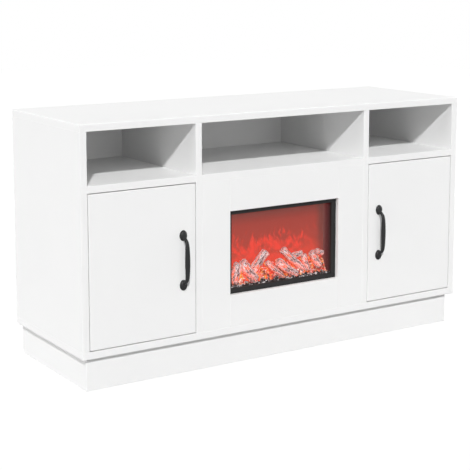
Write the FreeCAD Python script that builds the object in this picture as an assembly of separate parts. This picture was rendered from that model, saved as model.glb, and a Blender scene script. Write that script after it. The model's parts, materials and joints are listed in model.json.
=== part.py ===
import FreeCAD, Part
import math
import os

# Fireplace TV stand: a flat-pack cabinet with two hinged doors, three open bays and a flame-effect insert.
# Millimetres, +Z up, +X to the right and -Y to the front; the origin is on the floor under the middle.

Vector = FreeCAD.Vector
TO_RIGHT = Vector(1, 0, 0)
TO_BACK = Vector(0, 1, 0)
UP = Vector(0, 0, 1)

# Cabinet
WIDTH = 1200.0
DEPTH = 400.0
BOARD = 18.0
BACK_THICKNESS = 3.0
BACK_REBATE = 4.0
BACK_LAP = 9.0
BACK_PLAY = 0.5
BACK_JOINT = 1.0
PLINTH_HEIGHT = 85.0
PLINTH_SETBACK = 16.0
DOOR_BAY_HEIGHT = 392.0
OPEN_BAY_HEIGHT = 132.0
CENTRE_BAY_WIDTH = 520.0
TOP_EDGE_RADIUS = 2.0
EDGE_EASE = 0.5
OVERRUN = 2.0
PLATE_CLIP_SHARE = 0.6
TURNED_SIDES = 16
CUTOUT_WIDTH = 200.0
CUTOUT_HEIGHT = 120.0
CUTOUT_RADIUS = 20.0

# Loose shelf in each cupboard and the pins that carry it
LOOSE_SHELF_SETBACK = 62.0
LOOSE_SHELF_PLAY = 1.0
PIN_RADIUS = 2.5
PIN_BORE_DEPTH = 11.0
PIN_REACH = 9.0
PIN_COLLAR_RADIUS = 3.6
PIN_COLLAR_LENGTH = 1.5
PIN_CLEARANCE = 0.1
PIN_ROW_INSET = 97.0
PIN_PITCH = 32.0
PIN_HOLES_EACH_WAY = 1

# Dowels, cam fittings and base screws
DOWEL_RADIUS = 4.0
DOWEL_LENGTH = 36.0
DOWEL_DEPTH = 11.0
FASTENER_CLEARANCE = 0.1
FASTENER_END_ROOM = 1.0
FASTENER_SIDES = 6
TOP_DOWEL_SHARES = (0.14, 0.86)
PLINTH_DOWEL_SHARES = (0.18, 0.82)
CAM_RADIUS = 7.4
CAM_HEIGHT = 13.5
CAM_SETBACK = 34.0
CAM_BOLT_RADIUS = 3.0
CAM_BOLT_DEPTH = 11.0
SIDE_SHELF_CAM_SHARE = 0.22
CENTRE_SHELF_CAM_SHARE = 0.30
SIDE_SHELF_DOWEL_SHARE = 0.66
CENTRE_SHELF_DOWEL_SHARE = 0.74
SCREW_RADIUS = 3.2
SCREW_HEAD_RADIUS = 5.0
SCREW_HEAD_HEIGHT = 4.0
SCREW_LENGTH = 50.0
BASE_SCREW_SHARES = (0.15, 0.85)

# Doors
DOOR_GAP = 2.5
DOOR_EASE = 1.0

# Bow handles; each station is a share of the half pitch, the standoff, the width and the thickness
HANDLE_PITCH = 128.0
HANDLE_EDGE_INSET = 36.0
ROSETTE_WIDTH = 22.0
ROSETTE_LENGTH = 28.0
ROSETTE_DOME = 8.0
BOW_STANDOFF = 22.0
BOW_WIDTH = 15.0
BOW_THICKNESS = 8.0
BOW_SIDES = 16
ROSETTE_SIDES = 20
ROSETTE_RINGS = 4
BOW_STATION_SHARES = (
    (0.94, 0.10, 0.55, 0.95),
    (0.885, 0.40, 0.53, 0.95),
    (0.83, 0.68, 0.56, 0.97),
    (0.755, 0.88, 0.62, 1.00),
    (0.64, 0.955, 0.70, 1.00),
    (0.36, 0.985, 0.90, 1.00),
)
HANDLE_SCREW_RADIUS = 2.0
HANDLE_SCREW_GRIP = 5.0
HANDLE_SCREW_HEAD_RADIUS = 4.0
HANDLE_SCREW_HEAD_HEIGHT = 2.4

# Cup hinges: one pin in a cup let into the door, and a hooked arm on a plate screwed to the side panel
HINGE_DOOR_INSET = 90.0
CUP_RADIUS = 17.5
CUP_DEPTH = 12.5
CUP_WALL = 1.0
CUP_EDGE_DISTANCE = 22.5
CUP_RIM_WIDTH = 2.0
CUP_RIM_THICKNESS = 1.0
CUP_EAR_REACH = 26.0
CUP_EAR_WIDTH = 12.0
CUP_EAR_SETBACK = 9.5
CUP_CLEARANCE = 0.1
CUP_SIDES = 20
CUP_PIN_HOLE_RADIUS = 1.8
PIVOT_EDGE_DISTANCE = 22.0
PIVOT_DEPTH = 8.5
HINGE_PIN_RADIUS = 1.5
HINGE_PIN_PLAY = 0.05
HINGE_PIN_END_ROOM = 0.4
KNUCKLE_RADIUS = 2.6
ARM_WIDTH = 11.0
ARM_THICKNESS = 2.0
ARM_REACH = 12.0
ARM_RISE = 26.0
ARM_TAIL = 40.0
ARM_BEND = 2.5
PLATE_THICKNESS = 3.0
PLATE_WIDTH = 16.0
PLATE_LENGTH = 48.0
PLATE_WING_SPAN = 48.0
PLATE_WING_WIDTH = 13.0

# Magnetic catches under the side shelves, with strike plates on the doors
CATCH_WIDTH = 42.0
CATCH_DEPTH = 14.0
CATCH_HEIGHT = 13.0
CATCH_EDGE_INSET = 22.0
CATCH_EASE = 2.0
CATCH_GAP = 0.4
STRIKE_WIDTH = 34.0
STRIKE_HEIGHT = 9.0
STRIKE_THICKNESS = 1.2
STRIKE_DROP = 1.0

# Fire surround: two full-height stiles, two rails and the cleats that hold them
STILE_WIDTH = 85.0
LOWER_RAIL_HEIGHT = 85.0
UPPER_RAIL_HEIGHT = 85.0
SURROUND_THICKNESS = 12.0
CLEAT = 18.0

# Flame-effect insert
BEZEL_FACE = 13.0
BEZEL_DEPTH = 11.0
BEZEL_LAP = 16.0
BEZEL_BEVEL = 2.5
GLASS_THICKNESS = 3.0
GLASS_LAP = 5.0
GLASS_PLAY = 0.2
HOUSING_MARGIN = 4.0
HOUSING_WALL = 1.2
HOUSING_DEPTH = 102.0
HOUSING_FLANGE = 14.0
SHEET_PLAY = 0.3
LOG_BED_DEPTH = 32.0
LOG_BED_FRONT_GAP = 1.0
LOG_LIP_HEIGHT = 7.0
LOG_LIP_THICKNESS = 3.0
LOG_BED_FRONT_HEIGHT = 5.0
LOG_BED_REAR_HEIGHT = 40.0
LOG_BED_SWELL = 4.0
SCREEN_THICKNESS = 2.0
# Each log runs between two places, given as shares of the opening's half width and height above the sill,
# with its place as a share of the bed's depth and its radius as a share of the thickest log's.
LOG_RADIUS = 13.6
LOG_SIDES = 7
LOG_SHARES = (
    (-0.82, 0.09, -0.71, 0.32, 0.44, 0.94),
    (-0.65, 0.32, -0.41, 0.09, 0.50, 1.00),
    (-0.47, 0.20, -0.19, 0.41, 0.60, 0.88),
    (-0.21, 0.28, 0.09, 0.08, 0.39, 0.57),
    (0.00, 0.27, 0.34, 0.08, 0.41, 0.91),
    (0.11, 0.41, 0.51, 0.12, 0.61, 0.75),
    (0.27, 0.30, 0.49, 0.32, 0.67, 0.60),
    (0.51, 0.31, 0.58, 0.11, 0.56, 0.65),
    (0.65, 0.32, 0.80, 0.14, 0.52, 0.76),
    (0.76, 0.32, 0.88, 0.29, 0.64, 0.60),
)
LOG_TAPER_SHARES = (0.90, 1.04, 0.80)

# Light boards, turning flame rotor and its drive, behind and under the screen
EMBER_CHANNEL_WIDTH = 16.0
EMBER_CHANNEL_HEIGHT = 6.0
LIGHT_BOARD_WIDTH = 10.0
LIGHT_BOARD_THICKNESS = 1.6
EMBER_BOARD_END_GAP = 21.0
LED_SIZE = 5.0
LED_HEIGHT = 1.6
LED_COUNT = 8
ROTOR_SETBACK = 26.0
ROTOR_HEIGHT = 25.0
ROTOR_SHAFT_RADIUS = 2.0
ROTOR_SHAFT_PLAY = 0.05
BLADE_RADIUS = 17.0
BLADE_THICKNESS = 0.8
BLADE_STATIONS = 8
BLADE_FILL_SHARE = 0.7
JOURNAL_LENGTH = 12.0
BLADE_TURN_SHARE = 0.125
BEARING_WIDTH = 18.0
BEARING_THICKNESS = 4.0
MOTOR_RADIUS = 13.0
MOTOR_LENGTH = 22.0
MOTOR_WALL_GAP = 6.0
MOTOR_NOSE_RADIUS = 5.0
MOTOR_NOSE_LENGTH = 6.0
MOTOR_FOOT_WIDTH = 20.0
CONTROL_BOARD_LENGTH = 64.0
CONTROL_BOARD_WIDTH = 18.0
CONTROL_BOARD_STANDOFF = 4.0
CONTROL_BOARD_GAP = 3.0

# Rear cover with its vents, rocker switch and power inlet
VENT_WIDTH = 4.0
VENT_COLUMNS = 5
VENT_ROWS = 3
VENT_PITCH_SHARE = 0.15
VENT_LENGTH_SHARE = 0.68
VENT_ROW_PITCH = 12.0
VENT_DROP = 30.0
SWITCH_OFFSET = 70.0
INLET_OFFSET = -70.0
SWITCH_HEIGHT_SHARE = 0.42
SWITCH_WIDTH = 15.0
SWITCH_LENGTH = 21.0
SWITCH_RIM = 2.0
SWITCH_RIM_THICKNESS = 2.0
SWITCH_BODY_DEPTH = 13.0
SWITCH_WALL = 2.0
ROCKER_PLAY = 0.5
ROCKER_DEPTH = 5.0
ROCKER_TILT = 7.0
ROCKER_PIN_RADIUS = 1.2
ROCKER_PIN_LENGTH = 1.2
ROCKER_PIN_PLAY = 0.05
INLET_RADIUS = 6.0
INLET_FLANGE_RADIUS = 8.0
INLET_FLANGE_THICKNESS = 1.6
INLET_BODY_LENGTH = 14.0
INLET_BORE_RADIUS = 3.2
INLET_BORE_DEPTH = 10.0
INLET_PIN_RADIUS = 1.0

# Places worked out from the sizes above
HANDLE_PROJECTION = BOW_STANDOFF + BOW_THICKNESS / 2
FRONT = (HANDLE_PROJECTION - DEPTH) / 2
REAR = FRONT + DEPTH
BACK_FACE = REAR - BACK_REBATE
BASE_TOP = PLINTH_HEIGHT + BOARD
SHELF_BOTTOM = BASE_TOP + DOOR_BAY_HEIGHT
SHELF_TOP = SHELF_BOTTOM + BOARD
TOP_BOTTOM = SHELF_TOP + OPEN_BAY_HEIGHT
HEIGHT = TOP_BOTTOM + BOARD
SIDE_FACE = WIDTH / 2 - BOARD
DIVIDER_FACE = CENTRE_BAY_WIDTH / 2
DIVIDER_OUTER = DIVIDER_FACE + BOARD
SIDE_MIDDLE = SIDE_FACE + BOARD / 2
DIVIDER_MIDDLE = DIVIDER_FACE + BOARD / 2
LOOSE_SHELF_BOTTOM = BASE_TOP + (DOOR_BAY_HEIGHT - BOARD) / 2
DOOR_OUTER = SIDE_FACE - DOOR_GAP
DOOR_INNER = DIVIDER_OUTER + DOOR_GAP
DOOR_BOTTOM = BASE_TOP + DOOR_GAP
DOOR_TOP = SHELF_BOTTOM - DOOR_GAP
DOOR_MIDDLE = (DOOR_BOTTOM + DOOR_TOP) / 2
DOOR_REAR = FRONT + BOARD
HANDLE_PLACE = DOOR_INNER + HANDLE_EDGE_INSET
HINGE_HEIGHTS = (DOOR_BOTTOM + HINGE_DOOR_INSET, DOOR_TOP - HINGE_DOOR_INSET)
CUP_PLACE = DOOR_OUTER - CUP_EDGE_DISTANCE
PIVOT_PLACE = DOOR_OUTER - PIVOT_EDGE_DISTANCE
PIVOT_FRONT = DOOR_REAR - PIVOT_DEPTH
OPENING_BOTTOM = BASE_TOP + LOWER_RAIL_HEIGHT
OPENING_TOP = SHELF_BOTTOM - UPPER_RAIL_HEIGHT
OPENING_HEIGHT = OPENING_TOP - OPENING_BOTTOM
OPENING_SIDE = CENTRE_BAY_WIDTH / 2 - STILE_WIDTH
SURROUND_REAR = FRONT + SURROUND_THICKNESS
WINDOW_SIDE = OPENING_SIDE - BEZEL_FACE
WINDOW_BOTTOM = OPENING_BOTTOM + BEZEL_FACE
WINDOW_TOP = OPENING_TOP - BEZEL_FACE
BEZEL_REAR = SURROUND_REAR + BEZEL_DEPTH
CHAMBER_SIDE = WINDOW_SIDE + HOUSING_MARGIN
CHAMBER_FLOOR = WINDOW_BOTTOM - HOUSING_MARGIN
CHAMBER_TOP = WINDOW_TOP + HOUSING_MARGIN
HOUSING_REAR = BEZEL_REAR + HOUSING_DEPTH
LOG_BED_FRONT = BEZEL_REAR + LOG_BED_FRONT_GAP
LOG_BED_REAR = LOG_BED_FRONT + LOG_BED_DEPTH
LOG_BED_MIDDLE = (LOG_BED_FRONT + LOG_LIP_THICKNESS + LOG_BED_REAR) / 2
SCREEN_REAR = LOG_BED_REAR + SCREEN_THICKNESS
ROTOR_PLACE = SCREEN_REAR + ROTOR_SETBACK
ROTOR_AXIS = CHAMBER_FLOOR + ROTOR_HEIGHT
ROTOR_END = CHAMBER_SIDE - MOTOR_WALL_GAP - MOTOR_LENGTH
ROTOR_SPAN = ROTOR_END * 2
SWITCH_PLACE = CHAMBER_FLOOR + (CHAMBER_TOP - CHAMBER_FLOOR) * SWITCH_HEIGHT_SHARE
COVER_REAR = HOUSING_REAR + HOUSING_WALL


def block(x_from, x_to, y_from, y_to, z_from, z_to):
    """A rectangular solid between two places on each axis."""
    return Part.makeBox(x_to - x_from, y_to - y_from, z_to - z_from, Vector(x_from, y_from, z_from))


def rod(start, direction, radius, length):
    return Part.makeCylinder(radius, length, start, direction)


def oval(centre, broad, deep, sides):
    """Points round an ellipse whose half axes are broad and deep."""
    points = []
    for index in range(sides):
        angle = 2 * math.pi * index / sides
        points.append(centre + broad * math.cos(angle) + deep * math.sin(angle))
    return points


def ring(centre, direction, radius, sides):
    """Points round a circle square to a direction."""
    helper = TO_RIGHT if abs(direction.z) > abs(direction.x) else UP
    broad = direction.cross(helper).normalize()
    deep = broad.cross(direction).normalize()
    return oval(centre, broad * radius, deep * radius, sides)


def facet(points):
    return Part.Face(Part.makePolygon(list(points) + [points[0]]))


def skin(rings):
    """A solid whose skin runs over rings of points in flat facets."""
    facets = [facet(rings[0]), facet(rings[-1])]
    for lower, upper in zip(rings, rings[1:]):
        for index in range(len(lower)):
            start = index - 1
            facets.append(facet((lower[start], lower[index], upper[index])))
            facets.append(facet((lower[start], upper[index], upper[start])))
    solid = Part.makeSolid(Part.makeShell(facets))
    if solid.Volume < 0:
        solid.reverse()
    return solid


def drum(start, direction, radius, length, sides):
    """A many-sided rod."""
    return facet(ring(start, direction, radius, sides)).extrude(direction * length)


def peg(start, direction, radius, length):
    """A flat-sided rod, as all the fasteners and their bores are."""
    return drum(start, direction, radius, length, FASTENER_SIDES)


def prism(outline, direction):
    """A closed outline of points pushed along a direction."""
    return facet(outline).extrude(direction)


def clipped_plate(centre, along, across, half_length, half_width, thickness):
    """A plate with clipped corners that grows along the cross product of its long and short ways."""
    clip = half_width * PLATE_CLIP_SHARE
    outline = []
    for end, side in ((-1, -1), (1, -1), (1, 1), (-1, 1)):
        by_end = along * (end * half_length) + across * (side * (half_width - clip))
        by_side = along * (end * (half_length - clip)) + across * (side * half_width)
        pair = (by_end, by_side) if end == side else (by_side, by_end)
        outline += [centre + pair[0], centre + pair[1]]
    return prism(outline, along.cross(across) * thickness)


def mirrored(shape):
    return shape.mirror(Vector(0, 0, 0), TO_RIGHT)


def whole(shape):
    """The single solid that a cut or a fuse leaves."""
    return shape.removeSplitter().Solids[0]


def group(shapes):
    return Part.makeCompound(shapes)


def front_edges(shape):
    """The straight edges of a board's front face."""
    return [edge for edge in shape.Edges if abs(edge.BoundBox.YMax - shape.BoundBox.YMin) < EDGE_EASE]


def eased_board(x_from, x_to, y_from, y_to, z_from, z_to, ease=EDGE_EASE):
    """A board whose front edges are slightly broken, as edge banding is."""
    shape = block(x_from, x_to, y_from, y_to, z_from, z_to)
    return shape.makeChamfer(ease, front_edges(shape))


def depth_at(share):
    """A place between the front and the back panels."""
    return FRONT + (BACK_FACE - FRONT) * share


class Fastening:
    """A fastener and the bore that it sits in."""

    def __init__(self, solid, bore):
        self.solid = solid
        self.bore = bore


def dowel(joint, direction):
    """A dowel across a joint; direction points into the board that takes the shorter end."""
    start = joint - direction * (DOWEL_LENGTH - DOWEL_DEPTH)
    bore_start = start - direction * FASTENER_END_ROOM
    bore_length = DOWEL_LENGTH + FASTENER_END_ROOM * 2
    bore = peg(bore_start, direction, DOWEL_RADIUS + FASTENER_CLEARANCE, bore_length)
    return Fastening(peg(start, direction, DOWEL_RADIUS, DOWEL_LENGTH), bore)


def all_dowels():
    """Dowels under the top, at the ends of the shelves and over the plinth boards."""
    made = []
    for share in TOP_DOWEL_SHARES:
        for place in (-SIDE_MIDDLE, -DIVIDER_MIDDLE, DIVIDER_MIDDLE, SIDE_MIDDLE):
            made.append(dowel(Vector(place, depth_at(share), TOP_BOTTOM), UP))
    shelf_middle = SHELF_BOTTOM + BOARD / 2
    for side in (-1, 1):
        side_depth = depth_at(SIDE_SHELF_DOWEL_SHARE)
        centre_depth = depth_at(CENTRE_SHELF_DOWEL_SHARE)
        made.append(dowel(Vector(side * SIDE_FACE, side_depth, shelf_middle), TO_RIGHT * side))
        made.append(dowel(Vector(side * DIVIDER_OUTER, side_depth, shelf_middle), TO_RIGHT * -side))
        made.append(dowel(Vector(side * DIVIDER_FACE, centre_depth, shelf_middle), TO_RIGHT * side))
        plinth_front = FRONT + PLINTH_SETBACK + BOARD / 2
        plinth_side = side * (WIDTH / 2 - PLINTH_SETBACK - BOARD / 2)
        for share in PLINTH_DOWEL_SHARES:
            made.append(dowel(Vector(plinth_side * share, plinth_front, PLINTH_HEIGHT), UP))
            made.append(dowel(Vector(plinth_side, depth_at(share), PLINTH_HEIGHT), UP))
        made.append(dowel(Vector(side * DIVIDER_FACE, REAR - BOARD / 2, PLINTH_HEIGHT), UP))
    return made


def cam_fitting(face, side, depth):
    """A cam in a shelf's underside and the bolt that it draws in; side points into the upright board."""
    axis = TO_RIGHT * side
    centre = Vector(face - side * CAM_SETBACK, depth, SHELF_BOTTOM)
    cam = peg(centre, UP, CAM_RADIUS, CAM_HEIGHT)
    cam_bore = peg(centre, UP, CAM_RADIUS + FASTENER_CLEARANCE, CAM_HEIGHT + FASTENER_CLEARANCE)
    bolt_start = centre + UP * (BOARD / 2)
    bolt_length = CAM_SETBACK + CAM_BOLT_DEPTH
    bolt = peg(bolt_start, axis, CAM_BOLT_RADIUS, bolt_length)
    bolt_bore = peg(bolt_start, axis, CAM_BOLT_RADIUS + FASTENER_CLEARANCE, bolt_length + FASTENER_CLEARANCE)
    return Fastening(group([whole(cam.cut(bolt_bore)), bolt]), cam_bore.fuse(bolt_bore))


def all_cam_fittings():
    made = []
    for side in (-1, 1):
        made.append(cam_fitting(side * SIDE_FACE, side, depth_at(SIDE_SHELF_CAM_SHARE)))
        made.append(cam_fitting(side * DIVIDER_OUTER, -side, depth_at(SIDE_SHELF_CAM_SHARE)))
        made.append(cam_fitting(side * DIVIDER_FACE, side, depth_at(CENTRE_SHELF_CAM_SHARE)))
    return made


def base_screw(place, depth):
    """A countersunk screw driven up through the base into an upright board."""
    foot = Vector(place, depth, PLINTH_HEIGHT)
    neck = foot + UP * SCREW_HEAD_HEIGHT
    made = []
    for spare, end_room in ((0, 0), (FASTENER_CLEARANCE, FASTENER_END_ROOM)):
        wide = ring(foot, UP, SCREW_HEAD_RADIUS + spare, FASTENER_SIDES)
        narrow = ring(neck, UP, SCREW_RADIUS + spare, FASTENER_SIDES)
        shank = peg(neck, UP, SCREW_RADIUS + spare, SCREW_LENGTH - SCREW_HEAD_HEIGHT + end_room)
        made.append(whole(skin([wide, narrow]).fuse(shank)))
    return Fastening(made[0], made[1])


def all_base_screws():
    places = (-SIDE_MIDDLE, -DIVIDER_MIDDLE, DIVIDER_MIDDLE, SIDE_MIDDLE)
    return [base_screw(place, depth_at(share)) for place in places for share in BASE_SCREW_SHARES]


def pin_rows():
    """Depths of the two columns of shelf-pin holes."""
    return (FRONT + PIN_ROW_INSET, BACK_FACE - PIN_ROW_INSET)


def pin_axis_height():
    """The pins carry the loose shelf on a flat."""
    return LOOSE_SHELF_BOTTOM - PIN_RADIUS * math.cos(math.pi / FASTENER_SIDES)


def pin_faces():
    """Inner faces of each cupboard and the way into the board there."""
    return (
        (-SIDE_FACE, TO_RIGHT * -1),
        (-DIVIDER_OUTER, TO_RIGHT),
        (DIVIDER_OUTER, TO_RIGHT * -1),
        (SIDE_FACE, TO_RIGHT),
    )


def pin_holes():
    holes = []
    for face, inward in pin_faces():
        for depth in pin_rows():
            for step in range(-PIN_HOLES_EACH_WAY, PIN_HOLES_EACH_WAY + 1):
                mouth = Vector(face, depth, pin_axis_height() + step * PIN_PITCH)
                holes.append(peg(mouth, inward, PIN_RADIUS + PIN_CLEARANCE, PIN_BORE_DEPTH))
    return holes


def shelf_pins():
    """Collared pins: the collar bears on the board and the stub carries the loose shelf."""
    pins = []
    for face, inward in pin_faces():
        for depth in pin_rows():
            mouth = Vector(face, depth, pin_axis_height())
            tail = peg(mouth + inward * (PIN_BORE_DEPTH - FASTENER_END_ROOM), inward * -1, PIN_RADIUS,
                       PIN_BORE_DEPTH - FASTENER_END_ROOM + PIN_REACH)
            collar = peg(mouth, inward * -1, PIN_COLLAR_RADIUS, PIN_COLLAR_LENGTH)
            pins.append(whole(tail.fuse(collar)))
    return pins


def loose_shelf():
    """Left-hand loose shelf, notched at its ends over the collars of its pins."""
    inner = -DIVIDER_OUTER - LOOSE_SHELF_PLAY
    outer = -SIDE_FACE + LOOSE_SHELF_PLAY
    top = LOOSE_SHELF_BOTTOM + BOARD
    rear = BACK_FACE - LOOSE_SHELF_PLAY
    shelf = eased_board(outer, inner, FRONT + LOOSE_SHELF_SETBACK, rear, LOOSE_SHELF_BOTTOM, top)
    reach = PIN_COLLAR_LENGTH + PIN_CLEARANCE
    for face, inward in pin_faces()[:2]:
        for depth in pin_rows():
            mouth = Vector(face, depth, pin_axis_height())
            shelf = shelf.cut(peg(mouth, inward * -1, PIN_COLLAR_RADIUS + PIN_CLEARANCE, reach))
    return whole(shelf)


def top_panel():
    """Top over the whole cabinet, its upper front and side edges rounded."""
    shape = block(-WIDTH / 2, WIDTH / 2, FRONT, REAR, TOP_BOTTOM, HEIGHT)
    rounded = []
    for edge in shape.Edges:
        box = edge.BoundBox
        if box.ZMin > TOP_BOTTOM and box.YMin < REAR - TOP_EDGE_RADIUS:
            rounded.append(edge)
    return shape.makeFillet(TOP_EDGE_RADIUS, rounded)


def side_panel():
    """Left-hand outer upright, rebated at the rear for the back."""
    board = eased_board(-WIDTH / 2, -SIDE_FACE, FRONT, REAR, BASE_TOP, TOP_BOTTOM)
    rebate = block(-SIDE_FACE - BACK_LAP, -SIDE_FACE + OVERRUN, BACK_FACE, REAR + OVERRUN,
                   BASE_TOP - OVERRUN, TOP_BOTTOM + OVERRUN)
    return whole(board.cut(rebate))


def back_panel(x_from, x_to):
    """Thin back between the base and the top, sunk a little in from their rear edges."""
    return block(x_from, x_to, BACK_FACE, BACK_FACE + BACK_THICKNESS, BASE_TOP, TOP_BOTTOM)


def centre_back_panel():
    """Middle back panel with the round-cornered cut-out that reaches the insert's switch and inlet."""
    panel = back_panel(-DIVIDER_MIDDLE + BACK_JOINT / 2, DIVIDER_MIDDLE - BACK_JOINT / 2)
    bottom = SWITCH_PLACE - CUTOUT_HEIGHT / 2
    cutter = block(-CUTOUT_WIDTH / 2, CUTOUT_WIDTH / 2, BACK_FACE - OVERRUN, REAR + OVERRUN,
                   bottom, bottom + CUTOUT_HEIGHT)
    corners = [edge for edge in cutter.Edges if edge.BoundBox.YLength > BACK_THICKNESS]
    return whole(panel.cut(cutter.makeFillet(CUTOUT_RADIUS, corners)))


def plinth(parts):
    """Recessed plinth: two front boards that meet in the middle, sides, a rear board and a brace."""
    front = FRONT + PLINTH_SETBACK
    outer = WIDTH / 2 - PLINTH_SETBACK
    inner = outer - BOARD
    left = eased_board(-outer, 0, front, front + BOARD, 0, PLINTH_HEIGHT)
    parts["plinth_front_left"] = left
    parts["plinth_front_right"] = mirrored(left)
    side = block(-outer, -inner, front + BOARD, REAR, 0, PLINTH_HEIGHT)
    parts["plinth_left_side"] = side
    parts["plinth_right_side"] = mirrored(side)
    parts["plinth_rear"] = block(-inner, inner, REAR - BOARD, REAR, 0, PLINTH_HEIGHT)
    parts["plinth_brace"] = block(-BOARD / 2, BOARD / 2, front + BOARD, REAR - BOARD, 0, PLINTH_HEIGHT)


def carcass(parts):
    """Panels of the cabinet before they are bored."""
    parts["top_panel"] = top_panel()
    parts["base_panel"] = eased_board(-WIDTH / 2, WIDTH / 2, FRONT, REAR, PLINTH_HEIGHT, BASE_TOP)
    side = side_panel()
    parts["left_side_panel"] = side
    parts["right_side_panel"] = mirrored(side)
    divider = eased_board(-DIVIDER_OUTER, -DIVIDER_FACE, FRONT, BACK_FACE, BASE_TOP, TOP_BOTTOM)
    parts["left_divider"] = divider
    parts["right_divider"] = mirrored(divider)
    shelf = eased_board(-SIDE_FACE, -DIVIDER_OUTER, FRONT, BACK_FACE, SHELF_BOTTOM, SHELF_TOP)
    parts["left_shelf"] = shelf
    parts["right_shelf"] = mirrored(shelf)
    parts["centre_shelf"] = eased_board(-DIVIDER_FACE, DIVIDER_FACE, FRONT, BACK_FACE,
                                        SHELF_BOTTOM, SHELF_TOP)
    plinth(parts)


def back_and_loose_shelves(parts):
    left = back_panel(-SIDE_FACE - BACK_LAP + BACK_PLAY, -DIVIDER_MIDDLE - BACK_JOINT / 2)
    parts["left_back_panel"] = left
    parts["right_back_panel"] = mirrored(left)
    parts["centre_back_panel"] = centre_back_panel()
    shelf = loose_shelf()
    parts["left_loose_shelf"] = shelf
    parts["right_loose_shelf"] = mirrored(shelf)
    parts["shelf_pins"] = group(shelf_pins())


def fastened(parts):
    """Bores for every hidden fastener in the carcass boards, and the fasteners themselves."""
    dowels = all_dowels()
    cams = all_cam_fittings()
    screws = all_base_screws()
    bores = [fitting.bore for fitting in dowels + cams + screws] + pin_holes()
    for name in list(parts):
        box = parts[name].BoundBox
        parts[name] = whole(parts[name].cut([bore for bore in bores if box.intersect(bore.BoundBox)]))
    parts["dowels"] = group([fitting.solid for fitting in dowels])
    parts["cam_fittings"] = group([solid for fitting in cams for solid in fitting.solid.Solids])
    parts["base_screws"] = group([fitting.solid for fitting in screws])


def door():
    """Left-hand slab door, bored for its hinge cups and handle screws."""
    shape = eased_board(-DOOR_OUTER, -DOOR_INNER, FRONT, DOOR_REAR, DOOR_BOTTOM, DOOR_TOP, DOOR_EASE)
    for height in HINGE_HEIGHTS:
        mouth = Vector(-CUP_PLACE, DOOR_REAR, height)
        bore = drum(mouth, TO_BACK * -1, CUP_RADIUS + CUP_CLEARANCE, CUP_DEPTH + CUP_CLEARANCE, CUP_SIDES)
        shape = shape.cut(bore)
    for end in (-1, 1):
        place = Vector(-HANDLE_PLACE, FRONT - OVERRUN, DOOR_MIDDLE + end * HANDLE_PITCH / 2)
        bore = peg(place, TO_BACK, HANDLE_SCREW_RADIUS + FASTENER_CLEARANCE, BOARD + OVERRUN * 2)
        shape = shape.cut(bore)
    return whole(shape)


def bow_section(station, end):
    """One oval section of the bow, square to the line that the bow follows."""
    pitch_share, standoff_share, width_share, thickness_share = station
    place = Vector(-HANDLE_PLACE, FRONT - BOW_STANDOFF * standoff_share,
                   DOOR_MIDDLE + end * HANDLE_PITCH / 2 * pitch_share)
    return place, BOW_WIDTH * width_share / 2, BOW_THICKNESS * thickness_share / 2


def bow():
    """The hand grip: oval sections that swell to the middle and turn in to the rosettes."""
    middle = (0.0, 1.0, 1.0, 1.0)
    lower = [bow_section(station, -1) for station in BOW_STATION_SHARES]
    upper = [bow_section(station, 1) for station in reversed(BOW_STATION_SHARES)]
    sections = lower + [bow_section(middle, 1)] + upper
    rings = []
    for index, (place, half_width, half_thickness) in enumerate(sections):
        before = sections[max(index - 1, 0)][0]
        after = sections[min(index + 1, len(sections) - 1)][0]
        outward = TO_RIGHT.cross((after - before).normalize())
        rings.append(oval(place, TO_RIGHT * half_width, outward * half_thickness, BOW_SIDES))
    return skin(rings)


def rosette(end):
    """An oval dome that seats the end of the bow on the door."""
    seat = Vector(-HANDLE_PLACE, FRONT, DOOR_MIDDLE + end * HANDLE_PITCH / 2)
    rings = []
    for step in range(ROSETTE_RINGS):
        angle = math.pi / 2 * step / ROSETTE_RINGS
        centre = seat - TO_BACK * (ROSETTE_DOME * math.sin(angle))
        broad = TO_RIGHT * (ROSETTE_WIDTH / 2 * math.cos(angle))
        tall = UP * (ROSETTE_LENGTH / 2 * math.cos(angle))
        rings.append(oval(centre, broad, tall, ROSETTE_SIDES))
    return skin(rings)


def handle():
    """Left-hand bow handle with blind screw holes in its rosettes."""
    shape = bow().fuse([rosette(-1), rosette(1)])
    room = block(-HANDLE_PLACE - ROSETTE_LENGTH, -HANDLE_PLACE + ROSETTE_LENGTH, FRONT, REAR, 0, HEIGHT)
    shape = shape.cut(room)
    for end in (-1, 1):
        mouth = Vector(-HANDLE_PLACE, FRONT, DOOR_MIDDLE + end * HANDLE_PITCH / 2)
        depth = HANDLE_SCREW_GRIP + FASTENER_CLEARANCE
        shape = shape.cut(peg(mouth, TO_BACK * -1, HANDLE_SCREW_RADIUS + FASTENER_CLEARANCE, depth))
    return shape.Solids[0]


def handle_screws():
    """Pan-head screws from inside the door into the rosettes."""
    screws = []
    for end in (-1, 1):
        seat = Vector(-HANDLE_PLACE, DOOR_REAR, DOOR_MIDDLE + end * HANDLE_PITCH / 2)
        shank = peg(seat, TO_BACK * -1, HANDLE_SCREW_RADIUS, BOARD + HANDLE_SCREW_GRIP)
        head = peg(seat, TO_BACK, HANDLE_SCREW_HEAD_RADIUS, HANDLE_SCREW_HEAD_HEIGHT)
        rim = [edge for edge in head.Edges if edge.BoundBox.YMin > DOOR_REAR]
        domed = head.makeChamfer(HANDLE_SCREW_HEAD_HEIGHT / 2, rim)
        screws.append(whole(shank.fuse(domed)))
    return screws


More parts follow.
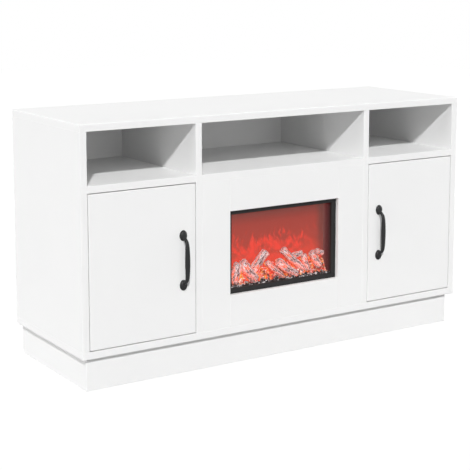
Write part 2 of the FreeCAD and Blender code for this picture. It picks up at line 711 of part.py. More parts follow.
def hinge_cup(height):
    """Pressed steel cup with a round rim and two screw ears, bored for the pin."""
    mouth = Vector(-CUP_PLACE, DOOR_REAR, height)
    inward = TO_BACK * -1
    body = drum(mouth, inward, CUP_RADIUS, CUP_DEPTH, CUP_SIDES)
    rim = drum(mouth, TO_BACK, CUP_RADIUS + CUP_RIM_WIDTH, CUP_RIM_THICKNESS, CUP_SIDES)
    ear_centre = mouth + TO_RIGHT * CUP_EAR_SETBACK
    ears = clipped_plate(ear_centre, UP, TO_RIGHT, CUP_EAR_REACH, CUP_EAR_WIDTH / 2, CUP_RIM_THICKNESS)
    hollow_depth = CUP_DEPTH - CUP_WALL + OVERRUN
    hollow = drum(mouth + TO_BACK * OVERRUN, inward, CUP_RADIUS - CUP_WALL, hollow_depth, CUP_SIDES)
    shape = body.fuse([rim, ears]).cut(hollow)
    pin_start = Vector(-PIVOT_PLACE, PIVOT_FRONT, height - CUP_RADIUS)
    return whole(shape.cut(peg(pin_start, UP, CUP_PIN_HOLE_RADIUS, CUP_RADIUS * 2)))


def hinge_pin(height):
    """Steel pin across the cup, held in its walls."""
    offset = PIVOT_PLACE - CUP_PLACE
    half_length = math.sqrt(CUP_RADIUS ** 2 - offset ** 2) - HINGE_PIN_END_ROOM
    start = Vector(-PIVOT_PLACE, PIVOT_FRONT, height - half_length)
    return rod(start, UP, HINGE_PIN_RADIUS, half_length * 2)


def hinge_arm(height):
    """Hooked arm: a knuckle on the pin, a bend out of the cup and a tail along the mounting plate."""
    half = ARM_THICKNESS / 2
    tail = SIDE_FACE - PLATE_THICKNESS - half - PIVOT_PLACE
    outline = (
        (0, -half),
        (ARM_REACH + half, -half),
        (ARM_REACH + half, ARM_RISE + half),
        (-tail + half, ARM_RISE + half),
        (-tail + half, ARM_RISE + ARM_TAIL),
        (-tail - half, ARM_RISE + ARM_TAIL),
        (-tail - half, ARM_RISE - half),
        (ARM_REACH - half, ARM_RISE - half),
        (ARM_REACH - half, half),
        (0, half),
    )
    pivot = Vector(-PIVOT_PLACE, PIVOT_FRONT, height - ARM_WIDTH / 2)
    shape = prism([pivot + TO_RIGHT * x + TO_BACK * y for x, y in outline], UP * ARM_WIDTH)
    outer_bends = []
    for edge in shape.Edges:
        middle = edge.CenterOfMass - pivot
        at_hook = abs(middle.x - ARM_REACH - half) < half and abs(middle.y) < ARM_RISE + ARM_THICKNESS
        at_heel = abs(middle.x + tail + half) < half and abs(middle.y - ARM_RISE + half) < half
        if edge.BoundBox.ZLength > half and (at_hook or at_heel):
            outer_bends.append(edge)
    shape = shape.makeChamfer(ARM_BEND, outer_bends)
    knuckle = drum(pivot, UP, KNUCKLE_RADIUS, ARM_WIDTH, TURNED_SIDES)
    bore = rod(pivot, UP, HINGE_PIN_RADIUS + HINGE_PIN_PLAY, ARM_WIDTH)
    return whole(shape.fuse(knuckle).cut(bore))


def hinge_plate(height):
    """Cross-shaped mounting plate on the side panel."""
    start = Vector(-SIDE_FACE, PIVOT_FRONT + ARM_RISE + PLATE_LENGTH / 2, height)
    bar = clipped_plate(start, TO_BACK, UP, PLATE_LENGTH / 2, PLATE_WIDTH / 2, PLATE_THICKNESS)
    wings = clipped_plate(start, UP, TO_BACK * -1, PLATE_WING_SPAN / 2, PLATE_WING_WIDTH / 2, PLATE_THICKNESS)
    return whole(bar.fuse(wings))


def catch():
    """Magnetic catch on the underside of the left shelf, near the door's free edge."""
    outer = -DIVIDER_OUTER - CATCH_EDGE_INSET - CATCH_WIDTH
    front = DOOR_REAR + STRIKE_THICKNESS + CATCH_GAP
    bottom = SHELF_BOTTOM - CATCH_HEIGHT
    shape = block(outer, outer + CATCH_WIDTH, front, front + CATCH_DEPTH, bottom, SHELF_BOTTOM)
    lower = [edge for edge in shape.Edges if edge.BoundBox.ZMax < bottom + CATCH_EASE]
    return shape.makeChamfer(CATCH_EASE, lower)


def strike_plate():
    """Thin steel plate on the back of the left door, in front of the catch."""
    centre = Vector(-DIVIDER_OUTER - CATCH_EDGE_INSET - CATCH_WIDTH / 2, DOOR_REAR,
                    DOOR_TOP - STRIKE_DROP - STRIKE_HEIGHT / 2)
    return clipped_plate(centre, TO_RIGHT * -1, UP, STRIKE_WIDTH / 2, STRIKE_HEIGHT / 2, STRIKE_THICKNESS)


def doors(parts):
    """Both doors with their handles, hinges and catches; the right-hand set mirrors the left."""
    moving = {
        "door": door(),
        "handle": handle(),
        "handle_screws": group(handle_screws()),
        "hinge_cups": group([hinge_cup(height) for height in HINGE_HEIGHTS]),
        "hinge_pins": group([hinge_pin(height) for height in HINGE_HEIGHTS]),
        "strike_plate": strike_plate(),
    }
    for name, shape in moving.items():
        parts["left_" + name] = shape
        parts["right_" + name] = mirrored(shape)
    fixed = {
        "hinge_arms": [hinge_arm(height) for height in HINGE_HEIGHTS],
        "hinge_plates": [hinge_plate(height) for height in HINGE_HEIGHTS],
        "door_catches": [catch()],
    }
    for name, shapes in fixed.items():
        parts[name] = group(shapes + [mirrored(shape) for shape in shapes])


def surround(parts):
    """Flush boards round the fire opening, with cleats behind them against the cabinet."""
    stile = eased_board(-DIVIDER_FACE, -OPENING_SIDE, FRONT, SURROUND_REAR, BASE_TOP, SHELF_BOTTOM)
    parts["surround_left_stile"] = stile
    parts["surround_right_stile"] = mirrored(stile)
    parts["surround_lower_rail"] = eased_board(-OPENING_SIDE, OPENING_SIDE, FRONT, SURROUND_REAR,
                                               BASE_TOP, OPENING_BOTTOM)
    parts["surround_upper_rail"] = eased_board(-OPENING_SIDE, OPENING_SIDE, FRONT, SURROUND_REAR,
                                               OPENING_TOP, SHELF_BOTTOM)
    rear = SURROUND_REAR + CLEAT
    inner = DIVIDER_FACE - CLEAT
    upright = block(-DIVIDER_FACE, -inner, SURROUND_REAR, rear, BASE_TOP, SHELF_BOTTOM)
    lower = block(-inner, inner, SURROUND_REAR, rear, BASE_TOP, BASE_TOP + CLEAT)
    upper = block(-inner, inner, SURROUND_REAR, rear, SHELF_BOTTOM - CLEAT, SHELF_BOTTOM)
    parts["surround_cleats"] = group([upright, mirrored(upright), lower, upper])


def bezel():
    """Black frame behind the surround: a bevelled window and a rebate for the glass."""
    lap = BEZEL_LAP
    frame = block(-OPENING_SIDE - lap, OPENING_SIDE + lap, SURROUND_REAR, BEZEL_REAR,
                  OPENING_BOTTOM - lap, OPENING_TOP + lap)
    window = block(-WINDOW_SIDE, WINDOW_SIDE, SURROUND_REAR - OVERRUN, BEZEL_REAR + OVERRUN,
                   WINDOW_BOTTOM, WINDOW_TOP)
    frame = frame.cut(window)
    rim = []
    for edge in frame.Edges:
        box = edge.BoundBox
        inside = box.XMax < WINDOW_SIDE + BEZEL_BEVEL and box.XMin > -WINDOW_SIDE - BEZEL_BEVEL
        if inside and box.YMax < SURROUND_REAR + BEZEL_BEVEL and box.ZMin > OPENING_BOTTOM \
                and box.ZMax < OPENING_TOP:
            rim.append(edge)
    frame = frame.makeChamfer(BEZEL_BEVEL, rim)
    rebate = block(-WINDOW_SIDE - GLASS_LAP, WINDOW_SIDE + GLASS_LAP, BEZEL_REAR - GLASS_THICKNESS,
                   BEZEL_REAR + OVERRUN, WINDOW_BOTTOM - GLASS_LAP, WINDOW_TOP + GLASS_LAP)
    return whole(frame.cut(rebate))


def glass():
    reach = GLASS_LAP - GLASS_PLAY
    return block(-WINDOW_SIDE - reach, WINDOW_SIDE + reach, BEZEL_REAR - GLASS_THICKNESS, BEZEL_REAR,
                 WINDOW_BOTTOM - reach, WINDOW_TOP + reach)


def housing():
    """Folded steel chamber, open at front and rear, with a flange that screws to the bezel."""
    wall = HOUSING_WALL
    shell = block(-CHAMBER_SIDE - wall, CHAMBER_SIDE + wall, BEZEL_REAR, HOUSING_REAR,
                  CHAMBER_FLOOR - wall, CHAMBER_TOP + wall)
    reach = CHAMBER_SIDE + HOUSING_FLANGE
    flange = block(-reach, reach, BEZEL_REAR, BEZEL_REAR + wall,
                   CHAMBER_FLOOR - HOUSING_FLANGE, CHAMBER_TOP + HOUSING_FLANGE)
    hollow = block(-CHAMBER_SIDE, CHAMBER_SIDE, BEZEL_REAR - OVERRUN, HOUSING_REAR + OVERRUN,
                   CHAMBER_FLOOR, CHAMBER_TOP)
    return whole(shell.fuse(flange).cut(hollow))


def rear_cover():
    """Cover sheet with rows of vents and holes for the switch and the inlet."""
    wall = HOUSING_WALL
    cover = block(-CHAMBER_SIDE - wall, CHAMBER_SIDE + wall, HOUSING_REAR, COVER_REAR,
                  CHAMBER_FLOOR - wall, CHAMBER_TOP + wall)
    pitch = CHAMBER_SIDE * 2 * VENT_PITCH_SHARE
    length = pitch * VENT_LENGTH_SHARE
    cutters = []
    for row in range(VENT_ROWS):
        for column in range(VENT_COLUMNS):
            offset = (column - (VENT_COLUMNS - 1) / 2) * pitch
            height = CHAMBER_TOP - VENT_DROP - row * VENT_ROW_PITCH
            cutters.append(block(offset - length / 2, offset + length / 2, HOUSING_REAR - OVERRUN,
                                 COVER_REAR + OVERRUN, height - VENT_WIDTH / 2, height + VENT_WIDTH / 2))
    half_width = SWITCH_WIDTH / 2 + FASTENER_CLEARANCE
    half_length = SWITCH_LENGTH / 2 + FASTENER_CLEARANCE
    cutters.append(block(SWITCH_OFFSET - half_width, SWITCH_OFFSET + half_width, HOUSING_REAR - OVERRUN,
                         COVER_REAR + OVERRUN, SWITCH_PLACE - half_length, SWITCH_PLACE + half_length))
    inlet_centre = Vector(INLET_OFFSET, HOUSING_REAR - OVERRUN, SWITCH_PLACE)
    hole_depth = wall + OVERRUN * 2
    cutters.append(drum(inlet_centre, TO_BACK, INLET_RADIUS + FASTENER_CLEARANCE, hole_depth, TURNED_SIDES))
    return whole(cover.cut(cutters))


def log_bed():
    """Sloping bed of embers with a lip in front."""
    side = -CHAMBER_SIDE + SHEET_PLAY
    front = LOG_BED_FRONT
    rear = LOG_BED_REAR
    floor = CHAMBER_FLOOR
    behind_lip = front + LOG_LIP_THICKNESS
    crest = (LOG_BED_FRONT_HEIGHT + LOG_BED_REAR_HEIGHT) / 2 + LOG_BED_SWELL
    outline = (
        Vector(side, front, floor),
        Vector(side, front, floor + LOG_LIP_HEIGHT),
        Vector(side, behind_lip, floor + LOG_LIP_HEIGHT),
        Vector(side, behind_lip, floor + LOG_BED_FRONT_HEIGHT),
        Vector(side, LOG_BED_MIDDLE, floor + crest),
        Vector(side, rear, floor + LOG_BED_REAR_HEIGHT),
        Vector(side, rear, floor),
    )
    return prism(outline, TO_RIGHT * (-side * 2))


def log(shares):
    """One tapering log between two places in the bed."""
    x_from_share, z_from_share, x_to_share, z_to_share, depth_share, radius_share = shares
    depth = LOG_BED_FRONT + LOG_BED_DEPTH * depth_share
    start = Vector(OPENING_SIDE * x_from_share, depth, OPENING_BOTTOM + OPENING_HEIGHT * z_from_share)
    end = Vector(OPENING_SIDE * x_to_share, depth, OPENING_BOTTOM + OPENING_HEIGHT * z_to_share)
    radius = LOG_RADIUS * radius_share
    places = (start, (start + end) / 2, end)
    rings = []
    for place, share in zip(places, LOG_TAPER_SHARES):
        rings.append(ring(place, end - start, radius * share, LOG_SIDES))
    return skin(rings)


def log_set():
    """One moulding of logs lying in their ember bed, cut away underneath for the light board."""
    shape = log_bed().fuse([log(shares) for shares in LOG_SHARES])
    room = block(-CHAMBER_SIDE + SHEET_PLAY, CHAMBER_SIDE - SHEET_PLAY, LOG_BED_FRONT, LOG_BED_REAR,
                 CHAMBER_FLOOR, CHAMBER_TOP)
    half = EMBER_CHANNEL_WIDTH / 2
    channel = block(-CHAMBER_SIDE, CHAMBER_SIDE, LOG_BED_MIDDLE - half, LOG_BED_MIDDLE + half,
                    CHAMBER_FLOOR - OVERRUN, CHAMBER_FLOOR + EMBER_CHANNEL_HEIGHT)
    return whole(shape.common(room).cut(channel))


def flame_screen():
    side = CHAMBER_SIDE - SHEET_PLAY
    return block(-side, side, LOG_BED_REAR, SCREEN_REAR, CHAMBER_FLOOR, CHAMBER_TOP - SHEET_PLAY)


def light_board(depth, length):
    """A strip board on the chamber floor with a row of lamps."""
    half = LIGHT_BOARD_WIDTH / 2
    reach = length / 2
    top = CHAMBER_FLOOR + LIGHT_BOARD_THICKNESS
    strip = block(-reach, reach, depth - half, depth + half, CHAMBER_FLOOR, top)
    lamps = []
    for index in range(LED_COUNT):
        place = -reach + length * (index + 0.5) / LED_COUNT
        lamps.append(block(place - LED_SIZE / 2, place + LED_SIZE / 2, depth - LED_SIZE / 2,
                           depth + LED_SIZE / 2, top, top + LED_HEIGHT))
    return whole(strip.fuse(lamps))


def mirror_rotor():
    """Shaft with round journals, carrying pairs of mirror blades, each pair turned on from the last."""
    start = Vector(-ROTOR_END, ROTOR_PLACE, ROTOR_AXIS)
    free_journal = rod(start, TO_RIGHT, ROTOR_SHAFT_RADIUS, JOURNAL_LENGTH)
    driven_journal = rod(start + TO_RIGHT * ROTOR_SPAN, TO_RIGHT * -1, ROTOR_SHAFT_RADIUS, JOURNAL_LENGTH)
    bar_length = ROTOR_SPAN - JOURNAL_LENGTH * 2
    bar = peg(start + TO_RIGHT * JOURNAL_LENGTH, TO_RIGHT, ROTOR_SHAFT_RADIUS, bar_length)
    blade_length = bar_length * BLADE_FILL_SHARE / BLADE_STATIONS
    gap = (bar_length - blade_length * BLADE_STATIONS) / (BLADE_STATIONS + 1)
    vanes = []
    for index in range(BLADE_STATIONS):
        place = start.x + JOURNAL_LENGTH + gap + (blade_length + gap) * index
        vane = block(place, place + blade_length, ROTOR_PLACE - BLADE_THICKNESS / 2,
                     ROTOR_PLACE + BLADE_THICKNESS / 2, ROTOR_AXIS - BLADE_RADIUS, ROTOR_AXIS + BLADE_RADIUS)
        vane.rotate(start, TO_RIGHT, 360 * BLADE_TURN_SHARE * index)
        vanes.append(vane)
    return whole(bar.fuse([free_journal, driven_journal] + vanes))


def rotor_bearing():
    """Upright with a bored boss that carries the free end of the shaft."""
    x_from = -ROTOR_END
    half = BEARING_WIDTH / 2
    centre = Vector(x_from, ROTOR_PLACE, ROTOR_AXIS)
    post = block(x_from, x_from + BEARING_THICKNESS, ROTOR_PLACE - half, ROTOR_PLACE + half,
                 CHAMBER_FLOOR, ROTOR_AXIS)
    boss = drum(centre, TO_RIGHT, half, BEARING_THICKNESS, TURNED_SIDES)
    bore = rod(centre, TO_RIGHT, ROTOR_SHAFT_RADIUS + ROTOR_SHAFT_PLAY, BEARING_THICKNESS)
    return whole(post.fuse(boss).cut(bore))


def rotor_motor():
    """Small geared motor on a foot; the shaft runs into its nose."""
    nose = Vector(ROTOR_END - MOTOR_NOSE_LENGTH, ROTOR_PLACE, ROTOR_AXIS)
    can_start = nose + TO_RIGHT * MOTOR_NOSE_LENGTH
    shape = drum(can_start, TO_RIGHT, MOTOR_RADIUS, MOTOR_LENGTH, TURNED_SIDES)
    foot = block(can_start.x, can_start.x + MOTOR_LENGTH, ROTOR_PLACE - MOTOR_FOOT_WIDTH / 2,
                 ROTOR_PLACE + MOTOR_FOOT_WIDTH / 2, CHAMBER_FLOOR, ROTOR_AXIS)
    nose_rod = drum(nose, TO_RIGHT, MOTOR_NOSE_RADIUS, MOTOR_NOSE_LENGTH, TURNED_SIDES)
    shape = shape.fuse([foot, nose_rod])
    bore_depth = MOTOR_NOSE_LENGTH + FASTENER_END_ROOM
    return whole(shape.cut(rod(nose, TO_RIGHT, ROTOR_SHAFT_RADIUS + ROTOR_SHAFT_PLAY, bore_depth)))


def control_board():
    """Driver board on feet at the back of the chamber."""
    rear = HOUSING_REAR - CONTROL_BOARD_GAP - SWITCH_BODY_DEPTH
    front = rear - CONTROL_BOARD_WIDTH
    half = CONTROL_BOARD_LENGTH / 2
    bottom = CHAMBER_FLOOR + CONTROL_BOARD_STANDOFF
    board = block(-half, half, front, rear, bottom, bottom + LIGHT_BOARD_THICKNESS)
    feet = []
    for place in (-half, half - LED_SIZE):
        feet.append(block(place, place + LED_SIZE, front, rear, CHAMBER_FLOOR, bottom))
    top = bottom + LIGHT_BOARD_THICKNESS
    chip = block(-half / 2, half / 2, front + LED_SIZE, rear - LED_SIZE, top, top + LED_SIZE)
    return whole(board.fuse(feet + [chip]))


def switch_cavity(play):
    """Half width and half length of the well that the rocker sits in, less a play."""
    return SWITCH_WIDTH / 2 - SWITCH_WALL - play, SWITCH_LENGTH / 2 - SWITCH_WALL - play


def switch_body():
    """Snap-in switch frame with a well for the rocker and sockets for its pins."""
    rear = COVER_REAR + SWITCH_RIM_THICKNESS
    half_width = SWITCH_WIDTH / 2
    half_length = SWITCH_LENGTH / 2
    rim_width = half_width + SWITCH_RIM
    rim_length = half_length + SWITCH_RIM
    front = COVER_REAR - SWITCH_BODY_DEPTH
    rim = block(SWITCH_OFFSET - rim_width, SWITCH_OFFSET + rim_width, COVER_REAR, rear,
                SWITCH_PLACE - rim_length, SWITCH_PLACE + rim_length)
    body = block(SWITCH_OFFSET - half_width, SWITCH_OFFSET + half_width, front, COVER_REAR,
                 SWITCH_PLACE - half_length, SWITCH_PLACE + half_length)
    well_width, well_length = switch_cavity(0)
    well = block(SWITCH_OFFSET - well_width, SWITCH_OFFSET + well_width, front + SWITCH_WALL, rear + OVERRUN,
                 SWITCH_PLACE - well_length, SWITCH_PLACE + well_length)
    socket_reach = well_width - ROCKER_PLAY + ROCKER_PIN_LENGTH + ROCKER_PIN_PLAY
    socket_start = Vector(SWITCH_OFFSET - socket_reach, COVER_REAR, SWITCH_PLACE)
    socket = rod(socket_start, TO_RIGHT, ROCKER_PIN_RADIUS + ROCKER_PIN_PLAY, socket_reach * 2)
    return whole(rim.fuse(body).cut([well, socket]))


def switch_rocker():
    """Two-sloped rocker on side pins, resting with its upper half pressed in."""
    half_width, half_length = switch_cavity(ROCKER_PLAY)
    slope = math.tan(math.radians(ROCKER_TILT))
    crown = SWITCH_RIM_THICKNESS
    pivot = Vector(SWITCH_OFFSET, COVER_REAR, SWITCH_PLACE)
    x_from = TO_RIGHT * -half_width
    outline = (
        (crown, 0),
        (crown + half_length * slope, half_length),
        (-ROCKER_DEPTH, half_length - ROCKER_DEPTH * slope),
        (-ROCKER_DEPTH, ROCKER_DEPTH * slope - half_length),
        (crown + half_length * slope, -half_length),
    )
    shape = prism([pivot + x_from + TO_BACK * y + UP * z for y, z in outline], TO_RIGHT * (half_width * 2))
    pin_reach = half_width + ROCKER_PIN_LENGTH
    shape = shape.fuse(rod(pivot - TO_RIGHT * pin_reach, TO_RIGHT, ROCKER_PIN_RADIUS, pin_reach * 2))
    shape = whole(shape)
    shape.rotate(pivot, TO_RIGHT, ROCKER_TILT)
    return shape


def power_inlet():
    """Round low-voltage inlet with its contact pin."""
    face = Vector(INLET_OFFSET, COVER_REAR, SWITCH_PLACE)
    outer = face + TO_BACK * INLET_FLANGE_THICKNESS
    inward = TO_BACK * -1
    flange = drum(face, TO_BACK, INLET_FLANGE_RADIUS, INLET_FLANGE_THICKNESS, TURNED_SIDES)
    body = drum(outer, inward, INLET_RADIUS, INLET_BODY_LENGTH, TURNED_SIDES)
    bore = drum(outer, inward, INLET_BORE_RADIUS, INLET_BORE_DEPTH, TURNED_SIDES)
    pin = peg(face, inward, INLET_PIN_RADIUS, INLET_BORE_DEPTH - INLET_FLANGE_THICKNESS)
    return whole(flange.fuse(body).cut(bore).fuse(pin))


def insert(parts):
    """Flame-effect insert that hangs behind the surround."""
    parts["insert_bezel"] = bezel()
    parts["insert_glass"] = glass()
    parts["insert_housing"] = housing()
    parts["insert_rear_cover"] = rear_cover()
    parts["log_set"] = log_set()
    parts["flame_screen"] = flame_screen()
    flame_board_length = ROTOR_SPAN - BEARING_THICKNESS * 4
    parts["light_boards"] = group([
        light_board(LOG_BED_MIDDLE, (CHAMBER_SIDE - EMBER_BOARD_END_GAP) * 2),
        light_board(ROTOR_PLACE, flame_board_length),
    ])
    parts["mirror_rotor"] = mirror_rotor()
    parts["rotor_bearing"] = rotor_bearing()
    parts["rotor_motor"] = rotor_motor()
    parts["control_board"] = control_board()
    parts["switch_body"] = switch_body()
    parts["switch_rocker"] = switch_rocker()
    parts["power_inlet"] = power_inlet()


def main():
    parts = {}
    carcass(parts)
    fastened(parts)
    back_and_loose_shelves(parts)
    doors(parts)
    surround(parts)
    insert(parts)
    os.makedirs("parts", exist_ok=True)
    for name, shape in parts.items():
        shape.exportStep("parts/" + name + ".step")
    print(len(parts), "nodes")


main()
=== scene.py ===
import json
import math

import bpy
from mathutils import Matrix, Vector


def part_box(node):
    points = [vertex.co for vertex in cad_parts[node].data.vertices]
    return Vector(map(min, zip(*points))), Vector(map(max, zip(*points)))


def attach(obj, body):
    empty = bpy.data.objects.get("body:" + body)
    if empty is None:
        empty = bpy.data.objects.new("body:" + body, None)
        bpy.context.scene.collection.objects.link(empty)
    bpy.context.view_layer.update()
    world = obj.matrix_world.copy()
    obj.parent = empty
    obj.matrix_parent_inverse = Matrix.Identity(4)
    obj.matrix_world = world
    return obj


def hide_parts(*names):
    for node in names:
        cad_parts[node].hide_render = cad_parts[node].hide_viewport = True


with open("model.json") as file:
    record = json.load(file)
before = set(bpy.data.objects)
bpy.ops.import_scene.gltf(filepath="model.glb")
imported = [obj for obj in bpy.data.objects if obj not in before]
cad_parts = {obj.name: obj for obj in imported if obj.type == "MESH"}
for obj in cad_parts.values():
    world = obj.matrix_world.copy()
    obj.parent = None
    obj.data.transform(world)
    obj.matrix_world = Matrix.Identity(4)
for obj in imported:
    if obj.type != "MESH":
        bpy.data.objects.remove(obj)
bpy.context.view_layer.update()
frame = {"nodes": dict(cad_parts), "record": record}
nodes = frame["nodes"]
slot_of = {entry["node"]: entry["material_slot"] for entry in frame["record"]["subparts"]}

RIGHT = Vector((1, 0, 0))
BACK = Vector((0, 1, 0))
DOWN = Vector((0, 0, -1))
SIDES = {"left": -1, "right": 1}

# White boards: how far their square edges are broken, and the boards that keep the edges of their solids
ARRIS = 0.0009
ARRIS_ANGLE = 60
WELD_GAP = 1e-6
ROUNDED_BOARDS = ("top_panel", "left_loose_shelf", "right_loose_shelf")

# Backs: how far the white and the brown run into each other in the middle of the thickness
HARDBOARD_BLEND = 0.0004

# Handle: its seats, and for each section of the bow the place along the half pitch, standoff and width
HANDLE_HALF_PITCH = 0.064
ROSETTE_RADII = (0.0110, 0.0080, 0.0140)
BOW_THICKNESS = 0.008
CASTING_VOXEL = 0.00055
BOW_SECTIONS = (
    (0.0600, 0.0030, 0.0094),
    (0.0578, 0.0075, 0.0090),
    (0.0553, 0.0118, 0.0090),
    (0.0524, 0.0157, 0.0094),
    (0.0485, 0.0188, 0.0101),
    (0.0430, 0.0205, 0.0110),
    (0.0340, 0.0213, 0.0124),
    (0.0230, 0.0217, 0.0137),
    (0.0110, 0.0219, 0.0147),
    (0.0000, 0.0220, 0.0150),
)

# Fire chamber: depth from the glass to the screen, and the skin of its walls on which the fire's light is
# painted
FIRE_DEPTH = 0.032
WALL_SKIN = 0.0004

# Flames: for each row the shift and fineness of its tongues, their foot, their reach and their strength
FLAME_ROWS = (
    (0.0, 55.0, 0.20, 0.75, 0.75),
    (5.0, 95.0, 0.12, 0.80, 0.55),
    (9.3, 72.0, 0.10, 0.95, 0.70),
)
FLAME_SWAY = 0.058

# Logs: both ends across and up, depth and radius
LOGS = (
    ("left_post_log", (-0.1440, 0.2080), (-0.1240, 0.2600), -0.1490, 0.0128),
    ("left_cross_log", (-0.1130, 0.2600), (-0.0720, 0.2080), -0.1470, 0.0136),
    ("tall_left_log", (-0.0820, 0.2320), (-0.0340, 0.2790), -0.1440, 0.0120),
    ("kindling_log", (-0.0360, 0.2510), (0.0150, 0.2060), -0.1505, 0.0078),
    ("middle_log", (0.0000, 0.2480), (0.0600, 0.2050), -0.1500, 0.0124),
    ("tall_right_log", (0.0190, 0.2780), (0.0890, 0.2150), -0.1435, 0.0102),
    ("short_cross_log", (0.0480, 0.2550), (0.0860, 0.2600), -0.1415, 0.0082),
    ("leaning_log", (0.0890, 0.2560), (0.1020, 0.2120), -0.1450, 0.0088),
    ("right_post_log", (0.1140, 0.2600), (0.1400, 0.2180), -0.1464, 0.0104),
    ("far_right_log", (0.1330, 0.2600), (0.1540, 0.2520), -0.1425, 0.0082),
)
LOG_SIDES = 18
LOG_CUTS = 14
# Heights above the bed: where the char ends and the painted red glow of the fire rises, peaks and fades
LOG_FOOT = 0.014
LOG_MIDDLE = 0.034
LOG_TOP = 0.062

LOG_INSET = 0.35
COARSE_BARK_SIZE = 0.016
FINE_BARK_SIZE = 0.0045

# Ember bed: its lip and slope, and where its heat starts and is full behind the front
BED_LIP = 0.003
BED_THICKNESS = 0.006
BED_RISE = 0.030
BED_SLACK = 0.001
EMBER_FRONT = 0.004
EMBER_DEEP = 0.015

# Coals: for each row its place behind the bed's front and above its foot
COAL_COLUMNS = 26
COAL_ROWS = ((0.0085, 0.0075), (0.0150, 0.0150), (0.0215, 0.0250), (0.0250, 0.0360), (0.0262, 0.0470))
COAL_END_INSET = 0.006
COAL_SIZE = 0.0044
COAL_SIZE_SWING = 0.0014
COAL_STRAY = 0.002
COAL_FORM = (1.25, 0.9, 0.75)

# Screws of the hinges, the catches, the rear cover and the handles
SCREW_RADIUS = 0.0034
SCREW_HEIGHT = 0.0012
FLUSH_SCREW_RADIUS = 0.0026
FLUSH_SCREW_HEIGHT = 0.00025
EAR_REACH = 0.0260
EAR_SETBACK = 0.0095
EAR_SCREW_INSET = 0.0036
HINGE_PLATE_THICKNESS = 0.0030
HINGE_ARM_THICKNESS = 0.0020
WING_SCREW_INSET = 0.0070
ARM_SCREW_INSET = 0.0110
CATCH_SCREW_INSET = 0.0070
CATCH_WIDTH = 0.0420
COVER_SCREW_INSET = 0.0070
PAN_RADIUS = 0.0040
PAN_HEIGHT = 0.0024
PAN_SHANK = 0.0230
SHANK_RADIUS = 0.0019

# Nails of the backs, with how many go into each shelf
NAIL_RADIUS = 0.0021
NAIL_HEIGHT = 0.0005
NAIL_INSET = 0.0042
NAIL_END_INSET = 0.030
NAIL_ROWS = 6
SHELF_NAILS = {"left": 2, "centre": 4, "right": 2}

# Shelf pins
PIN_RADIUS = 0.00216
PIN_COLLAR_RADIUS = 0.0036
PIN_COLLAR_SHARE = 0.97
PIN_COLLAR_LENGTH = 0.0015
PIN_REACH = 0.0090
PIN_TAIL = 0.0100

# Marks on the rocker and steel strips of the catches
MARK_SIZE = 0.0030
MARK_RELIEF = 0.00015
BAR_WIDTH = MARK_SIZE * 0.22
RING_LINE = MARK_SIZE * 0.11
POLE_LENGTH = 0.0290
POLE_HEIGHT = 0.0022
POLE_RELIEF = 0.00015

# Studio: the floor, the soft light, and each lamp's heading, strength and softness in degrees
FLOOR_SIZE = 14.0
FLOOR_PLACE = (0, 2.0, -0.0002)
FLOOR_PALE = 0.38
FLOOR_WHITE = 1.18
FLOOR_WHITE_SHARE = 0.80
SOFT_LIGHT = 0.15
LAMPS = (
    ("front_key", (0.434, 0.708, -0.558), 2.50, 3.0),
    ("front_soft", (0.0, 1.0, -0.22), 0.38, 40.0),
    ("left_fill", (1.0, 0.0, -0.36), 1.08, 20.0),
    ("right_fill", (-1.0, 0.0, -0.30), 1.30, 40.0),
    ("rear_fill", (0.15, -1.0, -0.30), 1.30, 40.0),
)

# Camera: solved from the cabinet's edges in the photograph
CAMERA_PLACE = (-1.9109, -2.8918, 1.0312)
CAMERA_DIP = 7.766
CAMERA_TURN = -32.904
CAMERA_LENS = 97.237
CAMERA_SENSOR = 36.0
CAMERA_SHIFT = -0.2


def clear_selection():
    bpy.ops.object.select_all(action="DESELECT")


def pick(piece):
    clear_selection()
    piece.select_set(True)
    bpy.context.view_layer.objects.active = piece


def settle(piece):
    """Puts the piece's place into its mesh."""
    pick(piece)
    bpy.ops.object.transform_apply(location=True, rotation=True, scale=True)


def use_modifiers(piece):
    """Applies the piece's modifiers in their order."""
    pick(piece)
    for modifier in list(piece.modifiers):
        bpy.ops.object.modifier_apply(modifier=modifier.name)


def edit_all(piece):
    pick(piece)
    bpy.ops.object.mode_set(mode="EDIT")
    bpy.ops.mesh.select_all(action="SELECT")


def leave_edit():
    bpy.ops.object.mode_set(mode="OBJECT")


def select_nothing(piece, kind):
    """Clears the selection on a piece's mesh and sets what is selected next: VERT, EDGE or FACE."""
    pick(piece)
    bpy.ops.object.mode_set(mode="EDIT")
    bpy.ops.mesh.select_all(action="DESELECT")
    bpy.ops.mesh.select_mode(type=kind)
    bpy.ops.object.mode_set(mode="OBJECT")


def choose_faces(piece, test):
    """Selects the faces whose centre and normal pass a test, and goes into edit mode on them."""
    select_nothing(piece, "FACE")
    for face in piece.data.polygons:
        face.select = test(face.center, face.normal)
    bpy.ops.object.mode_set(mode="EDIT")


def choose_edges(piece, test):
    """Selects the edges whose two ends pass a test, and goes into edit mode on them."""
    select_nothing(piece, "EDGE")
    for edge in piece.data.edges:
        edge.select = test(*[piece.data.vertices[index].co for index in edge.vertices])
    bpy.ops.object.mode_set(mode="EDIT")


def choose_points(piece, test):
    """Selects the points whose place passes a test, and goes into edit mode on them."""
    select_nothing(piece, "VERT")
    for point in piece.data.vertices:
        point.select = test(point.co)
    bpy.ops.object.mode_set(mode="EDIT")


def joined(pieces):
    clear_selection()
    for piece in pieces:
        piece.select_set(True)
    bpy.context.view_layer.objects.active = pieces[0]
    if len(pieces) > 1:
        bpy.ops.object.join()
    return pieces[0]


def copy_of(piece):
    pick(piece)
    bpy.ops.object.duplicate(linked=False)
    return bpy.context.active_object


def drop(piece):
    pick(piece)
    bpy.ops.object.delete()


def middle_of(low, high):
    return (low + high) / 2


def smooth(piece, angle=35):
    pick(piece)
    bpy.ops.object.shade_smooth_by_angle(angle=math.radians(angle))


